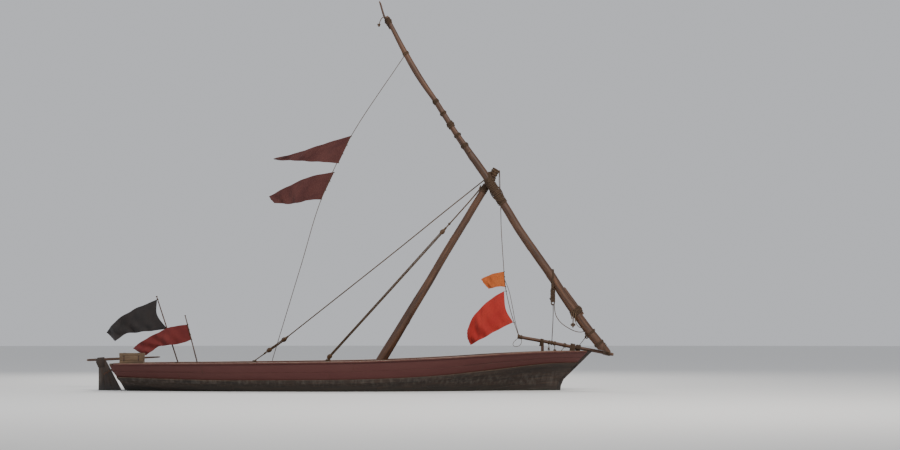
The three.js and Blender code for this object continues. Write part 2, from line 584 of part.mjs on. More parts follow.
const bowsprit = new THREE.Vector3(BOWSPRIT.fore[0] - BOWSPRIT.aft[0], 0, BOWSPRIT.fore[1] - BOWSPRIT.aft[1]);
const bowspritSolid = (grow) => solid(rope(
  [[BOWSPRIT.aft[0], 0, BOWSPRIT.aft[1]], [BOWSPRIT.fore[0], 0, BOWSPRIT.fore[1]]], BOWSPRIT.radius, grow, 12));
place('bowsprit', shape(bowspritSolid(0)), WOOD.spar);
place('stem', shape(solid(stemGeometry()).subtract(bowspritSolid(SEAT))), WOOD.keel);
place('bowsprit_post', shape(cutBy(solid(block(
  [BOWSPRIT_POST.x - BOWSPRIT_POST.half, BOWSPRIT_POST.x + BOWSPRIT_POST.half],
  [-BOWSPRIT_POST.half, BOWSPRIT_POST.half], [FOREDECK.top + SEAT, bowspritZ(BOWSPRIT_POST.x)])),
[bowspritSolid(SEAT)])), WOOD.spar);
place('bowsprit_chock', shape(cutBy(solid(block([CHOCK.aft, CHOCK.fore], [-CHOCK.half, CHOCK.half],
  [FOREDECK.top + SEAT, bowspritZ(CHOCK.aft)])), [bowspritSolid(SEAT)])), WOOD.spar);
for (const [name, { x, thick, long }] of [['bowsprit_lashing', STEM_LASHING], ['tack_lashing', TACK]]) {
  const middle = new THREE.Vector3(x, 0, bowspritZ(x));
  place(name, turns(middle, bowsprit, BOWSPRIT.radius + 2 * SEAT, thick, long), ROPE, 0.95);
}

// Rudder and tiller

const rudderFore = (z) => postAft(z) - RUDDER_GAP;
const tillerSolid = (grow) => solid(sparBar(TILLER, 0, grow, 10));
const blade = acrossHull([
  [rudderFore(RUDDER.foot), RUDDER.foot], [rudderFore(640), 640], [-5385, RUDDER.head], [-5582, RUDDER.head],
  [-5582, 610], [RUDDER.trailing, 500], [RUDDER.trailing, -360], [-5440, -480], [-5330, RUDDER.foot],
], RUDDER.half);
place('rudder', shape(cutBy(solid(blade), [tillerSolid(SEAT)])), WOOD.hull);
place('tiller', shape(tillerSolid(0)), WOOD.spar);

// The irons are made upright about the hinge's axis, then raked with the post
const rake = Math.atan(POST_RAKE);
const faceGap = RUDDER_GAP / 2 * Math.cos(rake);
const upright = new THREE.CylinderGeometry(1, 1, 1, 16).rotateX(Math.PI / 2);
const post = (radius, low, high) => upright.clone().scale(radius, radius, high - low)
  .translate(0, 0, (low + high) / 2);
const raked = (make, z) => make().rotateY(-rake).translate(postAft(z) - RUDDER_GAP / 2, 0, z);
const gudgeon = () => {
  const side = HALF_SIDING + SEAT;
  const [near, far] = [faceGap - IRON.cheek, faceGap + IRON.onPost];
  const cheeks = [1, -1].map((s) => solid(block([near, far], [side, side + IRON.cheek].map((y) => s * y).sort((a, b) => a - b),
    [-IRON.half, IRON.half])));
  const back = solid(block([0, faceGap - SEAT], [-side - IRON.cheek, side + IRON.cheek], [-IRON.half, IRON.half]));
  return shape(joined([solid(post(IRON.ring, -IRON.half, IRON.half)), back, ...cheeks])
    .subtract(solid(post(IRON.bore, -60, 60))));
};
const pintle = () => {
  const side = RUDDER.half + SEAT;
  const [low, high] = [IRON.half + 1, 3 * IRON.half];
  const [near, far] = [-faceGap + 4, -faceGap - IRON.onBlade];
  const cheeks = [1, -1].map((s) => solid(block([far, near], [side, side + IRON.cheek].map((y) => s * y).sort((a, b) => a - b),
    [low, high])));
  const back = solid(block([-faceGap + SEAT, 0], [-side - IRON.cheek, side + IRON.cheek], [low, high]));
  return shape(joined([solid(post(IRON.ring - 2, low, high)), solid(post(IRON.pin, -1.6 * IRON.half, high)), back,
    ...cheeks]));
};
for (const { name, z } of HINGES) {
  place(`gudgeon_${name}`, raked(gudgeon, z), IRON_GREY, 0.6);
  place(`pintle_${name}`, raked(pintle, z), IRON_GREY, 0.6);
}

// Locker and lid

const locker = solid(block([LOCKER.aft, LOCKER.fore], [LOCKER.outboard, LOCKER.inboard],
  [AFT_DECK.top + SEAT, LOCKER.top]));
const lockerInside = solid(block([LOCKER.aft + LOCKER.wall, LOCKER.fore - LOCKER.wall],
  [LOCKER.outboard + LOCKER.wall, LOCKER.inboard - LOCKER.wall], [AFT_DECK.top + LOCKER.wall, LOCKER.top + 10]));
place('locker', shape(locker.subtract(lockerInside)), WOOD.deck);
const lid = block([LOCKER.aft - LID.overhang, LOCKER.fore + LID.overhang],
  [LOCKER.outboard, LOCKER.inboard + LID.overhang], [LOCKER.top + SEAT, LID.top]);
place('locker_lid', lid, WOOD.deck);

// Flagpoles

const poleSolid = ({ foot, head, radius }, grow = 0) => solid(rope([foot, head], radius, grow, 10));
const deckTop = solid(block([-6000, 0], [-2000, 2000], [0, AFT_DECK.top + SEAT]));
for (const pole of POLES) {
  place(pole.name, shape(poleSolid(pole).subtract(deckTop)), WOOD.spar);
}

// Flags: grids of points from the hoist to the fly, a few millimetres thick

const CLOTH = 8;
function flag(name, rows, colour, cutters = []) {
  const grid = (shift) => rows.map((row) => row.map(([x, y, z]) => new THREE.Vector3(x, y + shift, z)));
  place(name, shape(cutBy(solid(slab(grid(-CLOTH / 2), grid(CLOTH / 2))), cutters)), colour, 0.9);
}
const poleCutters = POLES.map((pole) => poleSolid(pole, SEAT));
const [aftPole, forePole] = POLES.map(({ foot, head }) => [head, foot]);
const aftLine = AFT_LINE.points;
const foreLine = FORE_LINE.points;
const aftLineCutter = [solid(rope(aftLine, AFT_LINE.radius, SEAT))];
const foreLineCutter = [solid(rope(foreLine, FORE_LINE.radius, SEAT))];
// Each row runs from the hoist, on the pole or the line, to the fly, the top row first
flag('flag_stern_black', [
  [[-4366, 900, 2055], [-4941, 900, 1802], [-5292, 900, 1562], [-5530, 900, 1289]],
  [[-4361, 900, 1700], [-4860, 900, 1560], [-5180, 900, 1400], [-5420, 900, 1190]],
  [routeAt(aftPole, 1378), [-4640, 900, 1310], [-5064, 900, 1257], [-5303, 900, 1081]],
], FLAG.black, poleCutters);
flag('flag_stern_red', [
  [routeAt(forePole, 1475), [-4118, 760, 1385], [-4592, 760, 1143], [-4885, 760, 937]],
  [routeAt(forePole, 1130), [-3728, 760, 1051], [-4275, 760, 982], [-4568, 760, 754]],
], FLAG.red, poleCutters);
flag('flag_pennant', [
  [routeAt(aftLine, 5750), [-700, 165, 5480], [-1631, 165, 5220]],
  [routeAt(aftLine, 5130), [-860, 200, 5150], [-1631, 165, 5204]],
], FLAG.maroon, aftLineCutter);
flag('flag_long', [
  [routeAt(aftLine, 4940), [-1275, 330, 4637], [-1758, 330, 4374]],
  [routeAt(aftLine, 4318), [-1160, 380, 4205], [-1626, 340, 4231]],
], FLAG.maroon, aftLineCutter);
flag('flag_small', [
  [routeAt(foreLine, 2662), [3058, 0, 2495]],
  [routeAt(foreLine, 2312), [3235, 0, 2270]],
], FLAG.orange, foreLineCutter);
flag('flag_bow_red', [
  [[3575, 0, 2221], [3330, 0, 2080], [3064, 0, 1856], [2850, 0, 1595], [2745, 0, 1328]],
  [[3616, 0, 1811], [3410, 0, 1700], [3170, 0, 1530], [2920, 0, 1345], [2752, 0, 1170]],
  [routeAt(foreLine, 1516), [3540, 0, 1403], [3300, 0, 1275], [3060, 0, 1140], [2824, 0, 1017]],
], FLAG.bright, foreLineCutter);

// Running lines and stays

const portRail = solid(railGeometry(1, SEAT));
const yardCutters = [solid(sparBar(LOWER_SPAR, YARD_SIDE, 2 * SEAT)), solid(sparBar(UPPER_SPAR, YARD_SIDE, 2 * SEAT))];
// The yard swings, so the line's plain solid stops short of it
const clearOfYard = solid(sparBar(UPPER_SPAR, YARD_SIDE, SLING.clearance));
place('signal_line_aft', shape(cutBy(solid(rope(aftLine, AFT_LINE.radius)), [clearOfYard, portRail])), ROPE, 0.95);
place('signal_line_fore', shape(cutBy(solid(rope(foreLine, FORE_LINE.radius)), [bowspritSolid(SEAT), mastSolid(SEAT)])),
  ROPE, 0.95);

// A block's wooden shell: half length, half length of its thick part, radii at the ends and in the middle
const BLOCK = { half: 63, thickHalf: 30, endRadius: 24, radius: 46, offRail: 60 };
const TACKLE = { apart: 26, radius: 10, tucked: 20 };

// A stay from a turn at the masthead to a two-part tackle at the port rail
function stay(name, { mast, out, block: blockAt, rail, pendant }, radius) {
  const cutters = [mastSolid(SEAT), portRail];
  const head = atMast(mast);
  const top = head.clone().add(new THREE.Vector3(-radius, out, 0));
  const [upper, lower] = vectors([blockAt, rail]);
  const pull = upper.clone().sub(top).normalize();
  const tie = cutBy(solid(bar([head, top, upper.clone().addScaledVector(pull, -TACKLE.tucked)],
    [radius, radius, radius], 8)), cutters);
  const down = lower.clone().sub(upper).normalize();
  const low = pendant ? lower.clone().lerp(upper, pendant) : lower.clone().addScaledVector(down, -BLOCK.offRail);
  const blocks = [upper, low].map((p) => solid(bar(
    [-BLOCK.half, -BLOCK.thickHalf, BLOCK.thickHalf, BLOCK.half].map((way) => p.clone().addScaledVector(down, way)),
    [BLOCK.endRadius, BLOCK.radius, BLOCK.radius, BLOCK.endRadius], 10)));
  const parts = [-TACKLE.apart, TACKLE.apart].map((shift) => {
    const aside = new THREE.Vector3(0, shift, 0);
    return solid(bar([upper, low].map((p) => p.clone().add(aside)), [TACKLE.radius, TACKLE.radius], 6));
  });
  const foot = solid(bar([low, lower], [radius, radius], 8));
  place(name, shape(cutBy(joined([tie, ...blocks, ...parts, foot]), [portRail])), ROPE, 0.95);
}
stay('backstay', BACKSTAY, 14);
stay('halyard', HALYARD, 16);

// Sling of the yard: turns round the yard joined to looser turns round the mast

const yardDirection = new THREE.Vector3(3640 - 2742, 0, 4037 - 5389).normalize();
const yardAtSling = new THREE.Vector3(SLING.yard[0], YARD_SIDE, SLING.yard[1]);
const mastSling = atMast(SLING.z);
const slingMast = solid(turns(mastSling, mastAxis, mastRadius(SLING.z) + SLING.clearance, SLING.thick, SLING.wide));
const slingYard = solid(turns(yardAtSling, yardDirection, SLING.onYard, SLING.thick, SLING.wide));
place('sling', shape(cutBy(slingMast.add(slingYard), [mastSolid(SLING.clearance), ...yardCutters])), ROPE, 0.95);

// Lashings along the yard, and the rope bundle that hangs under it

const fittings = [
  solid(sparBar(LOWER_SPAR, YARD_SIDE, 2 * SEAT)), solid(sparBar(UPPER_SPAR, YARD_SIDE, 2 * SEAT)),
  solid(sparBar(PEAK_POLE, YARD_SIDE, SEAT, 10)), solid(sparBar(HEEL_FISH, YARD_SIDE, SEAT, 10)),
];
for (const { name, x, y, z, rows, inside, wide, long } of YARD_LASHINGS) {
  const i = rows.findIndex(([px], k) => k > 0 && px < x);
  const direction = new THREE.Vector3(rows[i][0] - rows[i - 1][0], 0, rows[i][1] - rows[i - 1][1]);
  const ring = turns(new THREE.Vector3(x, 0, z), direction, inside, LASHING_DEPTH, long);
  ring.scale(1, wide, 1).translate(0, y, 0);
  place(`yard_lashing_${name}`, shape(cutBy(solid(ring), fittings)), ROPE, 0.95);
}

place('hanging_bundle', shape(cutBy(solid(sparBar(HANGING_BUNDLE, YARD_SIDE, 0, 10)), yardCutters)), ROPE, 0.95);

export default dhow;
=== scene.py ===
# %% [markdown]
# # A lateen-rigged wooden dhow
# The boat's solids come in as a fixed frame: metres, +X towards the bow, +Y to port, +Z up, the waterline
# at 0. The cells below dress that frame as the boat was built: strakes with seams and nails, round spars of
# grown wood, laid rope with its lashings, and flags of thin cloth.

# %% Load the frame
import math
import random

import bmesh
import bpy
import numpy as np
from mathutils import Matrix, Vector


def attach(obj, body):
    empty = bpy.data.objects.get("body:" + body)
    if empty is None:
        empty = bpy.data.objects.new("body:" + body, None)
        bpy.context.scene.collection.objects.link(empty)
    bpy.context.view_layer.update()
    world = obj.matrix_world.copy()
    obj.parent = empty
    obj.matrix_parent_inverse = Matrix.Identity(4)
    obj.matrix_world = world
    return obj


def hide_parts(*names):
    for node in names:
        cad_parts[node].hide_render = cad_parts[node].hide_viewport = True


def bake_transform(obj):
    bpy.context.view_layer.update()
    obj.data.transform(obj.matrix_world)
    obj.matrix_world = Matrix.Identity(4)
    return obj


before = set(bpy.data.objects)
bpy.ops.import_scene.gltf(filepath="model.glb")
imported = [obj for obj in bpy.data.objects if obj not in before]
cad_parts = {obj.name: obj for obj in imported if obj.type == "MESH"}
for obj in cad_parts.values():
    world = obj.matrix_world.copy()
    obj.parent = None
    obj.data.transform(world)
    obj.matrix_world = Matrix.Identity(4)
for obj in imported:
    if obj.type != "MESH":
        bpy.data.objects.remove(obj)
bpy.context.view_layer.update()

print("solids in the frame:", len(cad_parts))

# %% [markdown]
# ## Camera
# The boat lies beam on, a long way off, and the eye is low over the water. A long lens far away keeps the
# hull's sides nearly parallel, as in a picture taken from a beach. The camera tilts up a little, because the
# peak of the yard is nearly nine metres above the water.

# %% Place the camera
PICTURE_WIDTH = 900
LENS_PIXELS = 1911
SENSOR = 36.0
EYE = (2.36, -43.0, 1.28)
TILT = math.atan(108 / LENS_PIXELS)

camera_data = bpy.data.cameras.new("beach_camera")
camera_data.sensor_width = SENSOR
camera_data.lens = SENSOR * LENS_PIXELS / PICTURE_WIDTH
camera_data.clip_end = 400
camera = bpy.data.objects.new("beach_camera", camera_data)
camera.location = EYE
camera.rotation_euler = (math.pi / 2 + TILT, 0, 0)
bpy.context.scene.collection.objects.link(camera)
bpy.context.scene.camera = camera
print("lens, mm:", round(camera_data.lens, 1))

# %% [markdown]
# ## The hull's lines
# A hull is drawn as cross sections. Each one here is a curve from the keel to the rail, steered by two middle
# points, and a table gives those for nine places from transom to stem. Between the rows the values run on
# smoothly, so a plank of any width or length can be taken from the same lines.

# %% Lines of the hull, in metres
SECTIONS = {
    "at": [-1.0, -0.8, -0.55, -0.2, 0.1, 0.4, 0.65, 0.85, 1.0],
    "half_beam": [0.8, 1.0, 1.17, 1.285, 1.295, 1.19, 0.9, 0.47, 0.051],
    "rail_top": [0.61, 0.618, 0.628, 0.648, 0.674, 0.742, 0.828, 0.88, 0.884],
    "low_out": [0.05, 0.12, 0.27, 0.45, 0.47, 0.36, 0.22, 0.2, 0.33],
    "low_up": [0.5, 0.34, 0.15, 0.05, 0.05, 0.1, 0.22, 0.3, 0.33],
    "high_out": [0.66, 0.78, 0.89, 0.95, 0.95, 0.9, 0.74, 0.62, 0.66],
    "high_up": [0.42, 0.32, 0.24, 0.22, 0.22, 0.28, 0.45, 0.62, 0.66],
}
SECTIONS = {key: np.array(row) for key, row in SECTIONS.items()}
CUTWATER = np.array([
    (4.4, -0.55), (4.62, -0.43), (4.755, -0.25), (4.825, -0.06), (4.848, 0.11), (4.905, 0.24),
    (5.555, 0.876),
])
HALF_SIDING = 0.050
KEEL_TOP = -0.395
GARBOARD_FOOT = -0.430
RABBET = 0.090
POST_HEAD = (-5.265, 0.597)
POST_RAKE = 0.5817
POST_DEPTH = 0.110
RAIL_THICKNESS = 0.042
PLANK = 0.038
INNER = 0.0503
HALF_LENGTH = 5.2
SEAT = 0.0003  # how far a laid piece is off what it rests on


def along(key, at):
    """A value from the table of sections, running on smoothly between its rows."""
    ats, row = SECTIONS["at"], SECTIONS[key]
    last = len(ats) - 1
    i = np.clip(np.searchsorted(ats, at) - 1, 0, last - 1)
    before, after = np.maximum(i - 1, 0), np.minimum(i + 2, last)
    span = ats[i + 1] - ats[i]
    slope_a = (row[i + 1] - row[before]) / (ats[i + 1] - ats[before]) * span
    slope_b = (row[after] - row[i]) / (ats[after] - ats[i]) * span
    u = (at - ats[i]) / span
    start = row[i] * (2 * u**3 - 3 * u**2 + 1) + slope_a * (u**3 - 2 * u**2 + u)
    return start + row[i + 1] * (3 * u**2 - 2 * u**3) + slope_b * (u**3 - u**2)


def cutwater(z):
    return np.interp(z, CUTWATER[:, 1], CUTWATER[:, 0])


def post_aft(z):
    return POST_HEAD[0] + POST_RAKE * (POST_HEAD[1] - z)


def hull_x(at, z):
    """Where a station, which is a share of the hull's length, lies along the boat at a height."""
    return np.where(at >= 0, at * (cutwater(z) - RABBET), -at * (post_aft(z) + POST_DEPTH))


def skin_point(at, up):
    """The inside of the port planking, a share along the hull and a share up the section."""
    top = along("rail_top", at) - RAIL_THICKNESS
    wide = along("half_beam", at) - INNER
    high = top - GARBOARD_FOOT
    b1, b2, b3 = 3 * up * (1 - up) ** 2, 3 * up**2 * (1 - up), up**3
    y = INNER + wide * (b1 * along("low_out", at) + b2 * along("high_out", at) + b3)
    z = GARBOARD_FOOT + high * (b1 * along("low_up", at) + b2 * along("high_up", at) + b3)
    return np.stack([hull_x(at, z), y, z], -1)


def unit(v):
    return v / np.linalg.norm(v, axis=-1, keepdims=True)


def skin(at, up, depth):
    """The same surface, moved inwards by a depth. The top row stays level and the ends stay square."""
    at, up, depth = np.broadcast_arrays(*[np.asarray(v, float) for v in (at, up, depth)])
    step = 0.004
    fore, aft = np.minimum(at + step, 1), np.maximum(at - step, -1)
    above, below = np.minimum(up + step, 1), np.maximum(up - step, 0)
    inward = unit(np.cross(skin_point(at, above) - skin_point(at, below),
                           skin_point(fore, up) - skin_point(aft, up)))
    inward *= np.where(inward[..., 1:2] > 0, -1, 1)
    inward[..., 0] *= 1 - at**10
    inward[..., 2] *= 1 - up**6
    return skin_point(at, up) + unit(inward) * depth[..., None]


def breadth_at(at, z, depth=0.0):
    """Half the width inside the planking at a height."""
    section = skin(at, np.linspace(0, 1, 161), depth)
    return float(np.interp(z, section[:, 2], section[:, 1]))


print("half width at the waterline amidships, m:", round(breadth_at(0.0, 0.0), 3))

# %% [markdown]
# ## Floor and light
# The floor lies at the waterline and has a hole where the boat goes through it, so that the bilge stays open
# to view. Large soft lamps and a bright, plain surround stand for a studio, with the main lamp high over the
# bow so that the seams and the turns of rope cast small shadows.

# %% Lay the floor round the waterline
FLOOR_REACH = 150.0
FLOOR_COLOUR = (0.74, 0.74, 0.73)
WATERLINE_STATIONS = 60


def plain_material(name, colour, roughness):
    material = bpy.data.materials.new(name)
    material.use_nodes = True
    shader = material.node_tree.nodes["Principled BSDF"]
    shader.inputs["Base Color"].default_value = (*colour, 1)
    shader.inputs["Roughness"].default_value = roughness
    return material


def lay_floor():
    """A wide flat floor round the hull's outline at the waterline."""
    port = [(hull_x(at, 0.0), breadth_at(at, 0.0) + PLANK / 2)
            for at in np.linspace(-1, 1, WATERLINE_STATIONS)]
    inner = port + [(x, -y) for x, y in reversed(port)]
    ways = [math.atan2(y * 4, x) for x, y in inner]
    outer = [(x + FLOOR_REACH * math.cos(a), y + FLOOR_REACH * math.sin(a)) for (x, y), a in zip(inner, ways)]
    count = len(inner)
    vertices = [(x, y, 0.0) for x, y in inner + outer]
    faces = [(i, (i + 1) % count, count + (i + 1) % count, count + i) for i in range(count)]
    mesh = bpy.data.meshes.new("studio_floor")
    mesh.from_pydata(vertices, [], faces)
    mesh.materials.append(plain_material("studio_floor", FLOOR_COLOUR, 0.9))
    floor = bpy.data.objects.new("studio_floor", mesh)
    bpy.context.scene.collection.objects.link(floor)


lay_floor()
print("floor laid at the waterline")

# %% Light the studio
SURROUND = (0.93, 0.95, 1.0)
SURROUND_STRENGTH = 0.62
LAMPS = [
    # name, place, aim, width, watts, colour
    ("key", (9.0, -15.0, 15.0), (0.5, 0.0, 2.0), 7.0, 3000, (1.0, 0.95, 0.88)),
    ("fill", (-14.0, -12.0, 6.0), (-1.0, 0.0, 2.0), 10.0, 600, (0.9, 0.95, 1.0)),
    ("back", (-2.0, 15.0, 12.0), (0.0, 0.0, 2.0), 9.0, 1700, (1.0, 0.96, 0.9)),
]


def light_studio():
    world = bpy.data.worlds.new("studio")
    world.use_nodes = True
    background = world.node_tree.nodes["Background"]
    background.inputs["Color"].default_value = (*SURROUND, 1)
    background.inputs["Strength"].default_value = SURROUND_STRENGTH
    bpy.context.scene.world = world
    for name, place, aim, width, watts, colour in LAMPS:
        lamp = bpy.data.lights.new(name, "AREA")
        lamp.shape = "DISK"
        lamp.size = width
        lamp.energy = watts
        lamp.color = colour
        lamp_object = bpy.data.objects.new(name, lamp)
        lamp_object.location = place
        lamp_object.rotation_euler = (Vector(aim) - Vector(place)).to_track_quat("-Z", "Y").to_euler()
        bpy.context.scene.collection.objects.link(lamp_object)


light_studio()
print("lamps:", len(LAMPS))

# %% [markdown]
# ## Tools for making pieces
# Every piece is a pile of small closed solids: planks, tubes, nail heads. Along with its points each solid
# keeps its lay, which is how far a point is along the fibres and across them. The finishes read the lay, so
# grain follows a bent plank and strands follow a rope. It also keeps its wear, which is 1 on an arris.

# %% A pile of small solids
SIDES = (("port", False), ("starboard", True))
SHARP_FROM = math.radians(40)


class Pile:
    """Small closed solids that become one piece, each with its points, faces, lay and wear."""

    def __init__(self):
        self.points, self.faces, self.lay, self.wear = [], [], [], []
        self.count = 0

    def add(self, points, faces, lay, wear):
        points = np.asarray(points, float).reshape(-1, 3)
        self.points.append(points)
        self.faces.append([tuple(k + self.count for k in face) for face in faces])
        self.lay.append(np.asarray(lay, float).reshape(-1, 3))
        self.wear.append(np.broadcast_to(np.asarray(wear, float).ravel(), (len(points),)))
        self.count += len(points)


def make(name, pile, finish, body="hull", replaces=(), mirror=False):
    """Turns a pile into one piece that rides on a body."""
    points = np.concatenate(pile.points)
    if mirror:
        points = points * (1, -1, 1)
    mesh = bpy.data.meshes.new(name)
    mesh.from_pydata(points.tolist(), [], [face for faces in pile.faces for face in faces])
    lay = mesh.attributes.new("lay", "FLOAT_VECTOR", "POINT")
    lay.data.foreach_set("vector", np.concatenate(pile.lay).ravel())
    wear = mesh.attributes.new("wear", "FLOAT", "POINT")
    wear.data.foreach_set("value", np.concatenate(pile.wear))
    work = bmesh.new()
    work.from_mesh(mesh)
    bmesh.ops.recalc_face_normals(work, faces=work.faces)
    work.to_mesh(mesh)
    work.free()
    mesh.polygons.foreach_set("use_smooth", [True] * len(mesh.polygons))
    mesh.set_sharp_from_angle(angle=SHARP_FROM)
    mesh.materials.append(finish)
    piece = bpy.data.objects.new(name, mesh)
    bpy.context.scene.collection.objects.link(piece)
    if body:
        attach(piece, body)
    if replaces:
        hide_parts(*replaces)
    print(name, "faces:", len(mesh.polygons))
    return piece


def wobble(seed, t, size=1.0, length=1.0):
    """A smooth uneven line through t, about -size to size, that changes over a length."""
    draw = random.Random(seed)
    waves = [(draw.uniform(0.6, 2.4), draw.uniform(0, math.tau)) for _ in range(4)]
    total = sum(np.sin(math.tau * f * np.asarray(t, float) / length + p) for f, p in waves)
    return total * size / 2.6


# %% Slabs, tubes and boards
STRAND_DIP = 0.14  # how far a rope's grooves go in, as a share of its radius
SAWN_UNEVEN = 0.0006


def slab_faces(rows, columns):
    """Faces of a closed body between two grids; the second grid's points follow the first's."""
    grid = lambda layer, i, j: layer * rows * columns + i * columns + j
    faces = []
    for i in range(rows - 1):
        for j in range(columns - 1):
            for layer in (0, 1):
                faces.append(tuple(grid(layer, k, m) for k,
                                   m in ((i, j), (i + 1, j), (i + 1, j + 1), (i, j + 1))))
    rim = [(i, 0) for i in range(rows)] + [(rows - 1, j) for j in range(1, columns)]
    rim += [(i, columns - 1) for i in range(rows - 2, -1, -1)] + [(0, j) for j in range(columns - 2, 0, -1)]
    for (i, j), (k, m) in zip(rim, rim[1:] + rim[:1]):
        faces.append((grid(0, i, j), grid(0, k, m), grid(1, k, m), grid(1, i, j)))
    return faces


def slab(pile, sides, order, shift, wear):
    """A slab between two grids. order says which of X, Y and Z lie along, across and through its fibres."""
    sides = np.array(sides)
    pile.add(sides, slab_faces(*sides.shape[1:3]), sides[..., order] + shift,
             np.broadcast_to(wear, sides.shape[:3]))


def ring_faces(rings, sides):
    """Faces of a closed bar from its rings of points."""
    faces = [(i * sides + j, (i + 1) * sides + j, (i + 1) * sides + (j + 1) % sides,
              i * sides + (j + 1) % sides)
             for i in range(rings - 1) for j in range(sides)]
    return faces + [tuple(range(sides)), tuple((rings - 1) * sides + j for j in range(sides))]


def run_along(points):
    """How far along a line each of its points is."""
    return np.concatenate([[0], np.cumsum(np.linalg.norm(np.diff(points, axis=0), axis=1))])


def turned_frames(points):
    """Two directions across a line at each of its points, carried along without twist."""
    tangents = unit(np.gradient(points, axis=0))
    first = np.array([0.0, 1.0, 0.0]) if abs(tangents[0][1]) < 0.9 else np.array([1.0, 0.0, 0.0])
    across = np.empty_like(points)
    for i, tangent in enumerate(tangents):
        first = unit(first - tangent * first.dot(tangent))
        across[i] = first
    return across, np.cross(tangents, across)


def bar(pile, spine, frames, run, radii, wear):
    """A closed bar with a ring of points round each point of its spine. radii has a row for each ring."""
    across, out = frames
    angles = math.tau * np.arange(radii.shape[1]) / radii.shape[1]
    c, s = radii * np.cos(angles), radii * np.sin(angles)
    rings = spine[:, None] + c[..., None] * across[:, None] + s[..., None] * out[:, None]
    pile.add(rings, ring_faces(*radii.shape), np.stack([np.broadcast_to(run[:, None], c.shape), c, s], -1),
             wear)


def tube(pile, points, radius, sides=8, lobes=0, pitch=1.0, seed=0):
    """A round bar or a rope along points. Lobes are a rope's strands, which turn once in each pitch."""
    points = np.asarray(points, float)
    run = run_along(points)
    radii = np.outer(np.broadcast_to(np.asarray(radius, float), run.shape), np.ones(sides))
    if lobes:
        turned = math.tau * np.arange(sides) / sides - math.tau * run[:, None] / pitch
        radii *= 1 - STRAND_DIP + STRAND_DIP * np.abs(np.cos(lobes / 2 * turned))
    bar(pile, points, turned_frames(points), run + seed * 3.1, radii, 0.0)


def through(points, step):
    """A smooth line through points, with a new point about every step."""
    points = np.asarray(points, float)
    ends = np.concatenate([[2 * points[0] - points[1]], points, [2 * points[-1] - points[-2]]])
    line = []
    for i in range(1, len(ends) - 2):
        a, b, c, d = ends[i - 1:i + 3]
        count = max(int(np.linalg.norm(c - b) / step), 1)
        t = (np.arange(count) / count)[:, None]
        line.append(0.5 * (2 * b + (c - a) * t + (2 * a - 5 * b + 4 * c - d) * t**2
                           + (3 * b - a - 3 * c + d) * t**3))
    return np.concatenate(line + [points[-1:]])


def board(pile, start, end, width, thick, face=(0, 0, 1), arris=0.004, step=0.25, seed=0, end_width=None):
    """A straight timber with eased arrises. face is the way its broad side looks."""
    start, end = np.array(start, float), np.array(end, float)
    length = np.linalg.norm(end - start)
    run = unit(end - start)
    side = unit(np.cross(np.array(face, float), run))
    up = np.cross(run, side)
    corner = [(1, 0), (0.7, 0.7), (0, 1)]
    places = np.concatenate([[0, arris], np.linspace(0, length, max(int(length / step), 1) + 1)[1:-1],
                             [length - arris, length]])
    points, lay, wear = [], [], []
    draw = random.Random(seed)
    for i, at in enumerate(places):
        tip = i in (0, len(places) - 1)
        cut = arris * 0.8 if tip else 0
        wide = (width + ((end_width or width) - width) * at / length) / 2 - cut
        deep = thick / 2 - cut
        for sx, sy, order in [(1, 1, 1), (-1, 1, -1), (-1, -1, 1), (1, -1, -1)]:
            for cx, cy in corner[::order]:
                x = sx * (wide - arris + arris * cx)
                y = sy * (deep - arris + arris * cy) + draw.uniform(-SAWN_UNEVEN, SAWN_UNEVEN)
                points.append(start + run * at + side * x + up * y)
                lay.append((at + seed * 1.7, x, y + seed * 0.31))
                wear.append(1.0 if cx == cy or tip else 0.25)
    pile.add(points, ring_faces(len(places), 4 * len(corner)), lay, wear)


def stud(pile, place, out, radius, height, sides=8):
    """A low domed nail head."""
    place, out = np.array(place, float), unit(np.array(out, float))
    side = unit(np.cross(out, (0.31, 0.17, 0.93)))
    other = np.cross(out, side)
    points = [place - out * 0.002]
    for share, lift in [(1.0, -0.002), (1.0, height * 0.4), (0.6, height * 0.9)]:
        for a in math.tau * np.arange(sides) / sides:
            points.append(place + (side * math.cos(a) + other * math.sin(a)) * radius * share + out * lift)
    points.append(place + out * height)
    ring = lambda i, j: 1 + i * sides + j % sides
    faces = []
    for j in range(sides):
        faces += [(0, ring(0, j + 1), ring(0, j)), (ring(2, j), ring(2, j + 1), len(points) - 1)]
        faces += [(ring(i, j), ring(i, j + 1), ring(i + 1, j + 1), ring(i + 1, j)) for i in (0, 1)]
    pile.add(points, faces, points, 0.5)


print("tools for slabs, bars, boards and studs ready")

# %% [markdown]
# ## Finishes
# Dry timber, tarred and oiled over years, is dark, uneven and dull, and its arrises are scuffed paler. Grain
# could come from an image, but a picture repeats and stretches. Noise that is drawn out along the lay gives
# fibres that never repeat. Each effect is a node group that several finishes share: grain, scuffs, sea stain,
# old paint, rope strands, weave and rust.

# %% Small helpers for node trees


